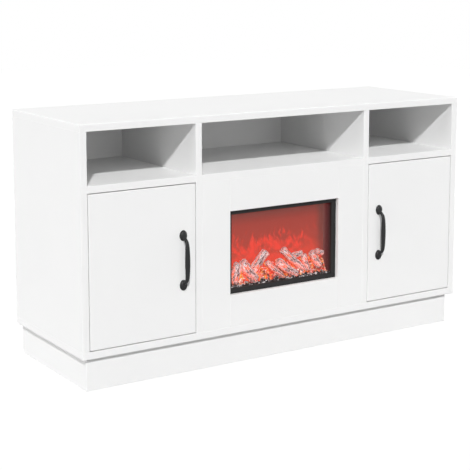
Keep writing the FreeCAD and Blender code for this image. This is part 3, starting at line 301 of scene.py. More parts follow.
def fit_out(piece, name, body, finish, replaced=()):
    """Names the finished piece, gives it its finish and lets it ride on its body."""
    settle(piece)
    piece.name = name
    piece.data.name = name
    piece.data.materials.clear()
    piece.data.materials.append(finish)
    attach(piece, body)
    if replaced:
        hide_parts(*replaced)


class Finish:
    """A material under way: its shader and short ways to add patterns on the piece's own coordinates."""

    def __init__(self, name, coordinates="Object"):
        self.material = bpy.data.materials.new(name)
        self.material.use_nodes = True
        self.tree = self.material.node_tree
        self.shader = self.tree.nodes["Principled BSDF"]
        sources = self.tree.nodes.new("ShaderNodeTexCoord").outputs
        self.coordinates = sources[coordinates]
        self.place = sources["Object"]

    def set(self, **values):
        for name, value in values.items():
            self.shader.inputs[name.replace("_", " ")].default_value = value
        return self

    def link(self, source, target):
        self.tree.links.new(source, target)

    def feed(self, name, source):
        self.link(source, self.shader.inputs[name])
        return self

    def put(self, socket, value):
        """Links another node's output to a socket, or sets a plain value on it."""
        if hasattr(value, "links"):
            self.link(value, socket)
        else:
            socket.default_value = value

    def stretched(self, scale, turn=(0, 0, 0), shift=(0, 0, 0)):
        mapping = self.tree.nodes.new("ShaderNodeMapping")
        mapping.inputs["Scale"].default_value = scale
        mapping.inputs["Rotation"].default_value = turn
        mapping.inputs["Location"].default_value = shift
        self.link(self.coordinates, mapping.inputs["Vector"])
        return mapping.outputs["Vector"]

    def noise(self, scale, detail=3.0, roughness=0.5, distortion=0.0, vector=None):
        node = self.tree.nodes.new("ShaderNodeTexNoise")
        node.inputs["Scale"].default_value = scale
        node.inputs["Detail"].default_value = detail
        node.inputs["Roughness"].default_value = roughness
        node.inputs["Distortion"].default_value = distortion
        self.link(vector or self.coordinates, node.inputs["Vector"])
        return node.outputs["Fac"]

    def cells(self, scale, vector=None, feature="F1"):
        node = self.tree.nodes.new("ShaderNodeTexVoronoi")
        node.feature = feature
        node.inputs["Scale"].default_value = scale
        self.link(vector or self.coordinates, node.inputs["Vector"])
        return node.outputs["Distance"]

    def axis(self, name):
        node = self.tree.nodes.new("ShaderNodeSeparateXYZ")
        self.link(self.place, node.inputs["Vector"])
        return node.outputs[name]

    def sum(self, operation, first, second=0.0, third=0.0):
        node = self.tree.nodes.new("ShaderNodeMath")
        node.operation = operation
        self.put(node.inputs[0], first)
        self.put(node.inputs[1], second)
        self.put(node.inputs[2], third)
        return node.outputs[0]

    def product(self, *values):
        total = values[0]
        for value in values[1:]:
            total = self.sum("MULTIPLY", total, value)
        return total

    def span(self, value, low, high, to_low=0.0, to_high=1.0, way="SMOOTHSTEP"):
        node = self.tree.nodes.new("ShaderNodeMapRange")
        node.interpolation_type = way
        self.put(node.inputs["Value"], value)
        node.inputs["From Min"].default_value = low
        node.inputs["From Max"].default_value = high
        node.inputs["To Min"].default_value = to_low
        node.inputs["To Max"].default_value = to_high
        return node.outputs["Result"]

    def within(self, name, low, high, skin):
        """1 between two places on an axis, fading to 0 in a skin beyond them."""
        place = self.axis(name)
        after = self.span(place, low - skin * 2, low - skin)
        before = self.span(place, high + skin, high + skin * 2, 1.0, 0.0)
        return self.product(after, before)

    def ramp(self, value, *stops):
        node = self.tree.nodes.new("ShaderNodeValToRGB")
        elements = node.color_ramp.elements
        while len(elements) < len(stops):
            elements.new(1.0)
        for element, (place, colour) in zip(elements, stops):
            element.position = place
            element.color = (*colour, 1.0)
        self.put(node.inputs["Fac"], value)
        return node.outputs["Color"]

    def mix(self, share, first, second, way="MIX"):
        node = self.tree.nodes.new("ShaderNodeMix")
        node.data_type = "RGBA"
        node.blend_type = way
        self.put(node.inputs["Factor"], share)
        self.put(node.inputs["A"], first)
        self.put(node.inputs["B"], second)
        return node.outputs["Result"]

    def bump(self, height, strength, distance):
        node = self.tree.nodes.new("ShaderNodeBump")
        node.inputs["Strength"].default_value = strength
        node.inputs["Distance"].default_value = distance
        self.link(height, node.inputs["Height"])
        self.link(node.outputs["Normal"], self.shader.inputs["Normal"])
        return self


def colour(red, green, blue):
    return (red, green, blue, 1.0)


def white_laminate():
    """White matt board: hardly any tint, and a faint pebbled press texture."""
    finish = Finish("white_laminate").set(Specular_IOR_Level=0.20)
    cloud = finish.noise(3.0, detail=4)
    finish.feed("Base Color", finish.ramp(cloud, (0.3, (0.893, 0.894, 0.893)), (0.7, (0.912, 0.912, 0.909))))
    pebble = finish.noise(900.0, detail=2)
    finish.feed("Roughness", finish.span(pebble, 0.3, 0.7, 0.74, 0.84))
    return finish.bump(pebble, 0.06, 0.0002).material


def back_hardboard(middle):
    """Thin hardboard: white in front of its middle, pressed brown fibre behind."""
    finish = Finish("back_hardboard").set(Roughness=0.6)
    fibre = finish.noise(260.0, detail=5, roughness=0.7, vector=finish.stretched((1.0, 1.0, 0.35)))
    cloud = finish.noise(9.0, detail=3)
    brown = finish.ramp(fibre, (0.25, (0.205, 0.125, 0.070)), (0.6, (0.300, 0.195, 0.115)),
                        (0.8, (0.380, 0.265, 0.170)))
    brown = finish.mix(finish.span(cloud, 0.35, 0.65, 0.0, 0.25), brown, colour(0.24, 0.15, 0.09))
    white = finish.ramp(cloud, (0.3, (0.890, 0.890, 0.888)), (0.7, (0.908, 0.908, 0.905)))
    outside = finish.span(finish.axis("Y"), middle - HARDBOARD_BLEND, middle + HARDBOARD_BLEND)
    finish.feed("Base Color", finish.mix(outside, white, brown))
    return finish.bump(fibre, 0.12, 0.0004).material


def raw_timber(name, light, dark):
    """Bare wood with its grain along the board."""
    finish = Finish(name).set(Roughness=0.7)
    grain = finish.noise(60.0, detail=6, distortion=0.6, vector=finish.stretched((0.12, 1.0, 1.0)))
    finish.feed("Base Color", finish.ramp(grain, (0.3, dark), (0.7, light)))
    return finish.bump(grain, 0.15, 0.0005).material


def black_powder_coat(name, shade, roughness, grain, shine=0.5):
    """Baked black coat with a fine orange-peel grain."""
    finish = Finish(name).set(Specular_IOR_Level=shine)
    speckle = finish.noise(grain, detail=3)
    dark = tuple(value * 0.75 for value in shade)
    finish.feed("Base Color", finish.ramp(speckle, (0.3, dark), (0.7, shade)))
    finish.feed("Roughness", finish.span(speckle, 0.25, 0.75, roughness - 0.06, roughness + 0.08))
    return finish.bump(speckle, 0.12, 0.0002).material


def plated_metal(name, shade, roughness):
    """Bright plated metal, smeared a little duller in streaks."""
    finish = Finish(name).set(Metallic=1.0)
    smear = finish.noise(40.0, detail=4, vector=finish.stretched((1.0, 6.0, 1.0)))
    dull = tuple(value * 0.82 for value in shade)
    finish.feed("Base Color", finish.ramp(smear, (0.3, dull), (0.7, shade)))
    finish.feed("Roughness", finish.span(smear, 0.3, 0.7, roughness - 0.06, roughness + 0.08))
    return finish.material


def moulded_plastic(name, shade, roughness=0.5):
    """Plastic with the spark-eroded grain of its mould."""
    finish = Finish(name)
    spark = finish.noise(700.0, detail=2)
    deep = tuple(value * 0.88 for value in shade)
    finish.feed("Base Color", finish.ramp(spark, (0.3, deep), (0.7, shade)))
    finish.feed("Roughness", finish.span(spark, 0.3, 0.7, roughness - 0.05, roughness + 0.05))
    return finish.bump(spark, 0.08, 0.0002).material


def circuit_board():
    """Green board with lighter and darker patches of track."""
    finish = Finish("circuit_board").set(Roughness=0.45)
    tracks = finish.cells(260.0)
    finish.feed("Base Color", finish.ramp(tracks, (0.30, (0.03, 0.17, 0.07)), (0.55, (0.06, 0.26, 0.12))))
    return finish.material


def window_glass():
    """Clear pane: nearly all of what is behind shows through it."""
    finish = Finish("window_glass").set(Alpha=0.02, IOR=1.5, Specular_IOR_Level=0.10)
    film = finish.noise(14.0, detail=2)
    finish.feed("Base Color", finish.ramp(film, (0.3, (0.30, 0.31, 0.31)), (0.7, (0.34, 0.35, 0.35))))
    finish.feed("Roughness", finish.span(film, 0.3, 0.7, 0.02, 0.05))
    return finish.material


def flame_screen(low, high):
    """Back-lit screen: a dim red wash, brighter above the logs, with pointed tongues of flame."""
    finish = Finish("flame_screen").set(Roughness=0.8, Emission_Strength=1.0, Specular_IOR_Level=0.05)
    finish.set(Base_Color=colour(0.02, 0.006, 0.005))
    height = finish.span(finish.axis("Z"), low.z, high.z, way="LINEAR")
    across = finish.axis("X")
    glow = finish.ramp(height, (0.00, (0.90, 0.11, 0.045)), (0.30, (0.66, 0.070, 0.042)),
                       (0.50, (0.420, 0.060, 0.042)), (0.78, (0.370, 0.056, 0.041)),
                       (0.92, (0.215, 0.056, 0.046)))
    waver = finish.noise(26.0, detail=2, vector=finish.stretched((0.5, 1.0, 1.0)))
    bent = finish.sum("MULTIPLY_ADD", waver, FLAME_SWAY, across)
    patchy = finish.span(finish.noise(38.0, detail=3), 0.36, 0.62)
    right_fade = finish.span(across, high.x * 0.45, high.x * 0.72, 1.0, 0.25)
    left_fade = finish.span(across, low.x * 0.96, low.x * 0.70, 0.20, 1.0)
    for shift, scale, lift, reach, strength in FLAME_ROWS:
        tongue = finish.tree.nodes.new("ShaderNodeTexNoise")
        tongue.noise_dimensions = "1D"
        tongue.inputs["Scale"].default_value = scale
        tongue.inputs["Detail"].default_value = 1.5
        finish.link(finish.sum("ADD", bent, shift), tongue.inputs["W"])
        crest = finish.sum("MULTIPLY_ADD", tongue.outputs["Fac"], reach, lift)
        crest = finish.sum("SUBTRACT", crest, height)
        lick = finish.span(crest, -0.02, 0.10)
        inner = finish.span(crest, 0.08, 0.34, 1.0, 0.35)
        share = finish.product(lick, inner, patchy, strength, right_fade, left_fade)
        glow = finish.mix(share, glow, colour(0.90, 0.066, 0.042))
    edge = finish.span(finish.sum("ABSOLUTE", across), high.x * 0.80, high.x * 0.98, 0.0, 0.72)
    glow = finish.mix(edge, glow, colour(0.115, 0.052, 0.045))
    finish.feed("Emission Color", glow)
    return finish.material


def log_bark(low):
    """Burnt bark on the log's own map: white with dark cracks, charred below, with mid tones painted red for
    the fire's light and a painted red glow half way up.
    """
    finish = Finish("log_bark", "UV").set(Roughness=0.85, Specular_IOR_Level=0.1)
    along = finish.stretched((7.0, 1.6, 1.0))
    crack = finish.noise(3.4, detail=5, roughness=0.65, distortion=0.8, vector=along)
    flake = finish.noise(9.0, detail=3, roughness=0.6, vector=finish.stretched((5.0, 2.4, 1.0)))
    chip = finish.noise(16.0, detail=2, vector=finish.stretched((4.0, 3.4, 1.0), shift=(1, 2, 0)))
    # The red and pink stops between the dark cracks and the white are painted light of the fire
    bark = finish.ramp(crack, (0.41, (0.022, 0.012, 0.013)), (0.47, (0.42, 0.075, 0.065)),
                       (0.52, (0.84, 0.58, 0.57)), (0.61, (0.97, 0.94, 0.94)))
    bark = finish.mix(finish.span(flake, 0.50, 0.57, 0.0, 0.94), bark, colour(0.040, 0.029, 0.032))
    foot = finish.span(finish.axis("Z"), low.z + LOG_FOOT, low.z + LOG_MIDDLE, 0.95, 0.0)
    char = finish.product(foot, finish.span(flake, 0.44, 0.51))
    bark = finish.mix(char, bark, colour(0.030, 0.022, 0.024))
    bark = finish.mix(finish.span(chip, 0.56, 0.60, 0.0, 0.95), bark, colour(0.95, 0.90, 0.90))
    finish.feed("Base Color", bark)
    heat = finish.noise(2.4, detail=3, vector=finish.stretched((3.0, 2.2, 1.0), shift=(3, 1, 0)))
    hot = finish.span(heat, 0.43, 0.57)
    deep = finish.span(crack, 0.42, 0.54, 1.0, 0.0)
    finish.feed("Emission Color", finish.ramp(crack, (0.38, (1.0, 0.16, 0.05)), (0.52, (0.85, 0.06, 0.03))))
    # Painted light: a red glow that rises from the foot to the middle and fades above, strongest on the pale
    # bark, for the fire's light on the logs
    rise = finish.span(finish.axis("Z"), low.z + LOG_FOOT, low.z + LOG_MIDDLE, 0.20, 1.0)
    fade = finish.span(finish.axis("Z"), low.z + LOG_MIDDLE, low.z + LOG_TOP, 0.55, 0.05)
    pale = finish.span(crack, 0.42, 0.52, 0.25, 1.0)
    lit = finish.product(rise, fade, pale, finish.span(heat, 0.40, 0.58, 0.25, 1.30))
    finish.feed("Emission Strength", finish.sum("MULTIPLY_ADD", finish.product(hot, deep), 0.95, lit))
    return finish.bump(crack, 0.5, 0.0015).material


def ember_glow(low):
    """Ember bed: coal black with white ash in front, red to yellow heat towards the back."""
    finish = Finish("ember_glow").set(Roughness=0.9, Specular_IOR_Level=0.1)
    lump = finish.noise(120.0, detail=4, roughness=0.6)
    ash = finish.noise(95.0, detail=5, roughness=0.7, distortion=0.5)
    finish.feed("Base Color", finish.ramp(ash, (0.44, (0.016, 0.013, 0.014)), (0.53, (0.12, 0.10, 0.10)),
                                          (0.60, (0.90, 0.86, 0.86))))
    inward = finish.span(finish.axis("Y"), low.y + EMBER_FRONT, low.y + EMBER_DEEP)
    patch = finish.span(finish.noise(34.0, detail=3), 0.34, 0.50, 0.15, 1.0)
    clear = finish.span(ash, 0.50, 0.58, 1.0, 0.30)
    glow = finish.ramp(lump, (0.30, (0.55, 0.020, 0.014)), (0.42, (0.92, 0.050, 0.032)),
                       (0.52, (1.0, 0.11, 0.040)), (0.60, (1.0, 0.36, 0.06)), (0.68, (1.0, 0.66, 0.16)))
    finish.feed("Emission Color", glow)
    finish.feed("Emission Strength", finish.product(inward, patch, clear))
    return finish.bump(lump, 0.4, 0.001).material


def chamber_sheet(low, high):
    """Black sheet; inside the fire chamber the screen's light is painted on it as a glow, red in front and
    brown behind.
    """
    finish = Finish("chamber_sheet").set(Roughness=0.7, Specular_IOR_Level=0.08)
    speckle = finish.noise(700.0, detail=3)
    finish.feed("Base Color", finish.ramp(speckle, (0.3, (0.020, 0.016, 0.016)),
                                          (0.7, (0.028, 0.024, 0.024))))
    screen = low.y + FIRE_DEPTH
    depth = finish.span(finish.axis("Y"), low.y, screen, way="LINEAR")
    # Painted light: the screen's red and brown light on the chamber walls, given as emission
    glow = finish.ramp(depth, (0.05, (0.024, 0.002, 0.002)), (0.40, (0.070, 0.005, 0.006)),
                       (0.62, (0.095, 0.012, 0.012)), (0.95, (0.175, 0.050, 0.042)))
    finish.feed("Emission Color", glow)
    # Where the painted light lies: only on the chamber walls, between the glass and the screen
    between = finish.within("X", low.x, high.x, WALL_SKIN)
    in_front = finish.within("Y", low.y, screen, WALL_SKIN)
    under = finish.within("Z", low.z, high.z, WALL_SKIN)
    finish.feed("Emission Strength", finish.product(between, in_front, under))
    return finish.bump(speckle, 0.12, 0.0002).material


back_low, back_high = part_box("centre_back_panel")
screen_low, screen_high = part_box("flame_screen")
bed_low, bed_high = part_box("log_set")

FINISHES = {
    "white_board": white_laminate(),
    "back_board": back_hardboard((back_low.y + back_high.y) / 2),
    "raw_board": raw_timber("raw_timber", (0.60, 0.43, 0.27), (0.42, 0.28, 0.16)),
    "beech": raw_timber("beech_dowel", (0.66, 0.47, 0.30), (0.50, 0.33, 0.19)),
    "zinc": plated_metal("zinc_plate", (0.62, 0.63, 0.65), 0.38),
    "plated_steel": plated_metal("nickel_plate", (0.68, 0.67, 0.65), 0.26),
    "black_metal": black_powder_coat("black_handle_coat", (0.017, 0.017, 0.018), 0.44, 1400.0, 0.24),
    "black_frame": black_powder_coat("black_frame_coat", (0.022, 0.022, 0.022), 0.45, 900.0, 0.22),
    "black_sheet": black_powder_coat("black_sheet_coat", (0.036, 0.033, 0.033), 0.60, 700.0),
    "white_plastic": moulded_plastic("white_plastic", (0.80, 0.80, 0.78)),
    "black_plastic": moulded_plastic("black_plastic", (0.028, 0.028, 0.030)),
    "window_glass": window_glass(),
    "log_moulding": log_bark(bed_low),
    "lit_screen": flame_screen(screen_low, screen_high),
    "circuit_board": circuit_board(),
    "mirror_foil": plated_metal("mirror_foil", (0.82, 0.82, 0.82), 0.12),
    "motor_steel": plated_metal("motor_steel", (0.52, 0.52, 0.53), 0.34),
}
EMBERS = ember_glow(bed_low)
# The housing's black sheet, with the fire's light painted on its chamber walls
CHAMBER_PAINTED_FIRELIGHT = chamber_sheet(Vector((screen_low.x, bed_low.y, bed_low.z)), screen_high)
MARK_PAINT = moulded_plastic("white_mark_paint", (0.72, 0.72, 0.72), 0.55)


def break_edges(board):
    """Eases the square edges of a board, so that the joints show as fine lines."""
    weld = board.modifiers.new("weld", "WELD")
    weld.merge_threshold = WELD_GAP
    ease = board.modifiers.new("arris", "BEVEL")
    ease.width = ARRIS
    ease.segments = 2
    ease.limit_method = "ANGLE"
    ease.angle_limit = math.radians(ARRIS_ANGLE)
    ease.use_clamp_overlap = False


for name, slot in slot_of.items():
    for place in nodes[name].material_slots:
        place.material = FINISHES[slot]
    if slot == "white_board" and name not in ROUNDED_BOARDS:
        break_edges(nodes[name])
# The insert's housing gets the black sheet with the painted firelight on its chamber walls
for place in nodes["insert_housing"].material_slots:
    place.material = CHAMBER_PAINTED_FIRELIGHT


def bow_grip(middle):
    """The hand grip: a ring of points carried from neck to neck, leaned and widened on the way."""
    lower = [(-along, out, width) for along, out, width in BOW_SECTIONS]
    upper = [(along, out, width) for along, out, width in reversed(BOW_SECTIONS[:-1])]
    sections = lower + upper
    leans = []
    for index in range(len(sections)):
        before = sections[max(index - 1, 0)]
        after = sections[min(index + 1, len(sections) - 1)]
        leans.append(math.atan2(after[1] - before[1], after[0] - before[0]))
    first = sections[0]
    door_face = middle.y
    start = Vector((middle.x, door_face - first[1], middle.z + first[0]))
    clear_selection()
    bpy.ops.mesh.primitive_circle_add(vertices=28, radius=0.5, fill_type="NGON", location=start,
                                      rotation=(leans[0], 0, 0))
    grip = bpy.context.active_object
    grip.scale = (first[2], BOW_THICKNESS, 1)
    settle(grip)
    edit_all(grip)
    for index in range(1, len(sections)):
        along, out, width = sections[index]
        last = sections[index - 1]
        place = Vector((middle.x, door_face - out, middle.z + along))
        step = (0, last[1] - out, along - last[0])
        bpy.ops.mesh.extrude_region_move(TRANSFORM_OT_translate={"value": step})
        turn = leans[index - 1] - leans[index]
        bpy.ops.transform.rotate(value=turn, orient_axis="X", center_override=place)
        bpy.ops.transform.resize(value=(width / last[2], 1, 1), center_override=place)
    bpy.ops.mesh.select_all(action="SELECT")
    bpy.ops.mesh.normals_make_consistent(inside=False)
    leave_edit()
    return grip


def rosette(middle, end):
    """A pebble-shaped seat, cut flat on the door."""
    seat = Vector((middle.x, middle.y, middle.z + end * HANDLE_HALF_PITCH))
    clear_selection()
    bpy.ops.mesh.primitive_uv_sphere_add(segments=40, ring_count=24, radius=1.0, location=seat,
                                         scale=ROSETTE_RADII)
    pebble = bpy.context.active_object
    settle(pebble)
    edit_all(pebble)
    bpy.ops.mesh.bisect(plane_co=seat, plane_no=(0, 1, 0), use_fill=True, clear_outer=True)
    leave_edit()
    return pebble


def cast_handle(side):
    """Bow and rosettes run together as one casting with soft inside corners."""
    low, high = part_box(side + "_handle")
    middle = Vector(((low.x + high.x) / 2, high.y, (low.z + high.z) / 2))
    handle = joined([bow_grip(middle), rosette(middle, -1), rosette(middle, 1)])
    blend = handle.modifiers.new("cast", "REMESH")
    blend.mode = "VOXEL"
    blend.voxel_size = CASTING_VOXEL
    soften = handle.modifiers.new("soften", "SMOOTH")
    soften.factor = 0.5
    soften.iterations = 9
    thin = handle.modifiers.new("thin", "DECIMATE")
    thin.ratio = 0.28
    use_modifiers(handle)
    smooth(handle, 60)
    fit_out(handle, side + "_cast_handle", side + "_door", FINISHES["black_metal"],
            [side + "_handle"])


def relief(name, size, depth=2):
    """A noise pattern that pushes a rough surface in and out."""
    texture = bpy.data.textures.new(name, "CLOUDS")
    texture.noise_scale = size
    texture.noise_depth = depth
    return texture


COARSE_BARK = relief("coarse_bark", COARSE_BARK_SIZE)
FINE_BARK = relief("fine_bark", FINE_BARK_SIZE, 3)


def roughen(piece, texture, depth):
    push = piece.modifiers.new(texture.name, "DISPLACE")
    push.texture = texture
    push.texture_coords = "GLOBAL"
    push.strength = depth
    push.mid_level = 0.5


def burnt_log(name, start, end, depth, radius):
    """A log: a round length with stepped-in ends, softened and then roughened all over."""
    low = Vector((start[0], depth, start[1]))
    high = Vector((end[0], depth, end[1]))
    run = high - low
    clear_selection()
    lean = run.to_track_quat("Z", "Y").to_euler()
    bpy.ops.mesh.primitive_cylinder_add(vertices=LOG_SIDES, radius=radius, depth=run.length,
                                        end_fill_type="NGON", location=middle_of(low, high), rotation=lean)
    log = bpy.context.active_object
    log.name = name
    choose_edges(log, lambda first, second: abs(first.z - second.z) > run.length / 2)
    bpy.ops.mesh.subdivide(number_cuts=LOG_CUTS)
    leave_edit()
    choose_faces(log, lambda centre, normal: abs(normal.z) > 0.9)
    bpy.ops.mesh.inset(thickness=radius * LOG_INSET)
    bpy.ops.mesh.inset(thickness=radius * LOG_INSET)
    leave_edit()
    settle(log)
    fine = log.modifiers.new("fine", "SUBSURF")
    fine.subdivision_type = "CATMULL_CLARK"
    fine.levels = 2
    fine.render_levels = 2
    roughen(log, COARSE_BARK, radius * 0.34)
    roughen(log, FINE_BARK, radius * 0.22)
    use_modifiers(log)
    smooth(log, 50)
    return log


def ember_bed():
    """The bed under the coals: a thin slab with a low lip in front, sloping up to the back."""
    size = bed_high - bed_low
    centre = middle_of(bed_low, bed_high)
    lip = bed_low.y + BED_LIP
    clear_selection()
    bpy.ops.mesh.primitive_cube_add(size=1.0, location=(centre.x, centre.y, bed_low.z + BED_THICKNESS / 2),
                                    scale=(size.x, size.y, BED_THICKNESS))
    bed = bpy.context.active_object
    settle(bed)
    edit_all(bed)
    bpy.ops.mesh.bisect(plane_co=(0, lip, 0), plane_no=(0, 1, 0))
    leave_edit()
    choose_faces(bed, lambda place, normal: normal.z > 0.9 and place.y > lip)
    bpy.ops.mesh.subdivide(number_cuts=1)
    leave_edit()
    upper = bed_low.z + BED_THICKNESS - BED_SLACK
    rear = bed_high.y - BED_SLACK
    choose_points(bed, lambda place: place.z > upper and place.y > rear)
    bpy.ops.transform.translate(value=(0, 0, BED_RISE))
    leave_edit()
    return bed


def coal(place, size, turn):
    """A flattened lump, roughened all over."""
    clear_selection()
    bpy.ops.mesh.primitive_ico_sphere_add(subdivisions=3, radius=size, location=place, rotation=turn,
                                          scale=COAL_FORM)
    lump = bpy.context.active_object
    settle(lump)
    roughen(lump, COARSE_BARK, size * 0.9)
    roughen(lump, FINE_BARK, size * 0.45)
    use_modifiers(lump)
    smooth(lump, 50)
    return lump


def laid_coals():
    """Rows of coals up the bed, each a little out of line and of its own size."""
    first = bed_low.x + COAL_END_INSET
    length = bed_high.x - bed_low.x - COAL_END_INSET * 2
    coals = []
    for column in range(COAL_COLUMNS):
        across = first + length * (column + 0.5) / COAL_COLUMNS
        for row, (back, up) in enumerate(COAL_ROWS):
            aside = COAL_STRAY * math.sin(column * 2.4 + row * 1.9)
            above = COAL_STRAY * math.cos(column * 3.1 + row)
            size = COAL_SIZE + COAL_SIZE_SWING * math.sin(column * 1.7 + row * 2.6)
            place = (across + aside, bed_low.y + back, bed_low.z + up + above)
            coals.append(coal(place, size, (column * 0.7, row * 1.1, column * 1.3)))
    return coals


def fire():
    """Logs over a bed of coals."""
    logs = joined([burnt_log(*shape) for shape in LOGS])
    fit_out(logs, "burnt_logs", "cabinet", FINISHES["log_moulding"], ["log_set"])
    embers = joined(laid_coals() + [ember_bed()])
    fit_out(embers, "ember_coals", "cabinet", EMBERS)


def set_out(master, spots):
    """Copies of a piece that stands on the origin and looks up, each put on a spot and turned to face out."""
    made = []
    for place, facing in spots:
        piece = copy_of(master)
        piece.location = place
        piece.rotation_euler = Vector(facing).to_track_quat("Z", "Y").to_euler()
        settle(piece)
        made.append(piece)
    return joined(made)


def turned_disc(radius, height, ease):
    """A disc standing on the origin with its upper edge rounded over."""
    clear_selection()
    bpy.ops.mesh.primitive_cylinder_add(vertices=28, radius=radius, depth=height, location=(0, 0, height / 2))
    disc = bpy.context.active_object
    settle(disc)
    choose_faces(disc, lambda place, normal: normal.z > 0.9)
    bpy.ops.mesh.bevel(offset=ease, segments=4, affect="EDGES")
    leave_edit()
    return disc


def turned_stem(radius, length, ease):
    """A disc turned over, so that it hangs below the origin."""
    stem = turned_disc(radius, length, ease)
    edit_all(stem)
    bpy.ops.transform.resize(value=(1, 1, -1), center_override=(0, 0, 0))
    bpy.ops.mesh.normals_make_consistent(inside=False)
    leave_edit()
    return stem


def cross_head(radius, height):
    """A screw head with a cross recess."""
    head = turned_disc(radius, height, height * 0.7)
    bars = []
    for turn in (0, 90):
        clear_selection()
        bpy.ops.mesh.primitive_cube_add(size=1.0, location=(0, 0, height),
                                        rotation=(0, 0, math.radians(turn)),
                                        scale=(radius * 1.15, radius * 0.26, height * 1.1))
        bar = bpy.context.active_object
        settle(bar)
        recess = head.modifiers.new("recess", "BOOLEAN")
        recess.operation = "DIFFERENCE"
        recess.object = bar
        bars.append(bar)
    use_modifiers(head)
    for bar in bars:
        drop(bar)
    smooth(head, 30)
    return head


def hinge_levels():
    """Heights of the lower and the upper hinge."""
    low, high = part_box("left_hinge_cups")
    return (low.z + EAR_REACH, high.z - EAR_REACH)


def door_screws(head, flush_head, side):
    """Screws in the hinge cups' ears and in the strike plate."""
    low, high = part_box(side + "_hinge_cups")
    ear = middle_of(low, high).x - SIDES[side] * EAR_SETBACK
    reach = EAR_REACH - EAR_SCREW_INSET
    spots = []
    for level in hinge_levels():
        for end in (-1, 1):
            spots.append(((ear, high.y, level + end * reach), BACK))
    low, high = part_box(side + "_strike_plate")
    plate = middle_of(low, high)
    flush = set_out(flush_head, [((plate.x, high.y, plate.z), BACK)])
    screws = joined([set_out(head, spots), flush])
    fit_out(screws, side + "_door_screws", side + "_door", FINISHES["zinc"])


def cabinet_screws(head):
    """Screws in the hinge plates, the arms, the catches and the insert's rear cover."""
    spots = []
    low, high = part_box("hinge_plates")
    plate_depth = middle_of(low, high).y
    arm_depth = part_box("hinge_arms")[1].y - ARM_SCREW_INSET
    wing = high.z - hinge_levels()[1] - WING_SCREW_INSET
    for side in SIDES.values():
        plate_face = side * (high.x - HINGE_PLATE_THICKNESS)
        arm_face = plate_face - side * HINGE_ARM_THICKNESS
        for level in hinge_levels():
            for end in (-1, 1):
                spots.append(((plate_face, plate_depth, level + end * wing), RIGHT * -side))
            spots.append(((arm_face, arm_depth, level), RIGHT * -side))
    low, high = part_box("door_catches")
    for side in SIDES.values():
        for inset in (CATCH_SCREW_INSET, CATCH_WIDTH - CATCH_SCREW_INSET):
            spots.append(((side * (high.x - inset), middle_of(low, high).y, low.z), DOWN))
    low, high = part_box("insert_rear_cover")
    for across in (low.x + COVER_SCREW_INSET, high.x - COVER_SCREW_INSET):
        for up in (low.z + COVER_SCREW_INSET, high.z - COVER_SCREW_INSET):
            spots.append(((across, high.y, up), BACK))
    fit_out(set_out(head, spots), "cabinet_screws", "cabinet", FINISHES["zinc"])


def back_nails():
    """Flat-headed nails that hold the backs to the uprights and the shelves."""
    nail = turned_disc(NAIL_RADIUS, NAIL_HEIGHT, NAIL_HEIGHT * 0.8)
    shelf = middle_of(*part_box("left_shelf")).z
    spots = []
    for side, shelf_nails in SHELF_NAILS.items():
        low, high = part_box(side + "_back_panel")
        rise = (high.z - low.z - NAIL_END_INSET * 2) / (NAIL_ROWS - 1)
        for across in (low.x + NAIL_INSET, high.x - NAIL_INSET):
            for row in range(NAIL_ROWS):
                spots.append(((across, high.y, low.z + NAIL_END_INSET + rise * row), BACK))
        for index in range(shelf_nails):
            across = low.x + (high.x - low.x) * (index + 1) / (shelf_nails + 1)
            spots.append(((across, high.y, shelf), BACK))
    nails = set_out(nail, spots)
    drop(nail)
    smooth(nails, 40)
    fit_out(nails, "back_nails", "cabinet", FINISHES["zinc"])


def pan_screws(side):
    """Round pan heads inside the door, on shanks that run into the handle."""
    head = cross_head(PAN_RADIUS, PAN_HEIGHT)
    shank = turned_stem(SHANK_RADIUS, PAN_SHANK, SHANK_RADIUS / 2)
    smooth(shank, 40)
    screw = joined([head, shank])
    centre = middle_of(*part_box(side + "_handle"))
    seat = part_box(side + "_door")[1].y
    spots = [((centre.x, seat, centre.z + end * HANDLE_HALF_PITCH), BACK) for end in (-1, 1)]
    screws = set_out(screw, spots)
    drop(screw)
    fit_out(screws, side + "_pan_screws", side + "_door", FINISHES["zinc"], [side + "_handle_screws"])


def turned_pins():
    """Shelf pins: a stub under the loose shelf, a collar on the board and a tail in its hole."""
    stub = turned_disc(PIN_RADIUS, PIN_REACH, PIN_RADIUS / 3)
    collar = turned_disc(PIN_COLLAR_RADIUS * PIN_COLLAR_SHARE, PIN_COLLAR_LENGTH, PIN_COLLAR_LENGTH / 3)
    tail = turned_stem(PIN_RADIUS, PIN_TAIL, PIN_RADIUS / 3)
    pin = joined([stub, collar, tail])
    smooth(pin, 40)
    low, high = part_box("shelf_pins")
    level = middle_of(low, high).z
    faces = (
        (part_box("left_side_panel")[1].x, RIGHT),
        (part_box("left_divider")[0].x, -RIGHT),
        (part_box("right_divider")[1].x, RIGHT),
        (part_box("right_side_panel")[0].x, -RIGHT),
    )
    spots = []
    for across, facing in faces:
        for depth in (low.y + PIN_COLLAR_RADIUS, high.y - PIN_COLLAR_RADIUS):
            spots.append(((across, depth, level), facing))
    pins = set_out(pin, spots)
    drop(pin)
    slot = slot_of["shelf_pins"]
    fit_out(pins, "turned_shelf_pins", "cabinet", FINISHES[slot], ["shelf_pins"])


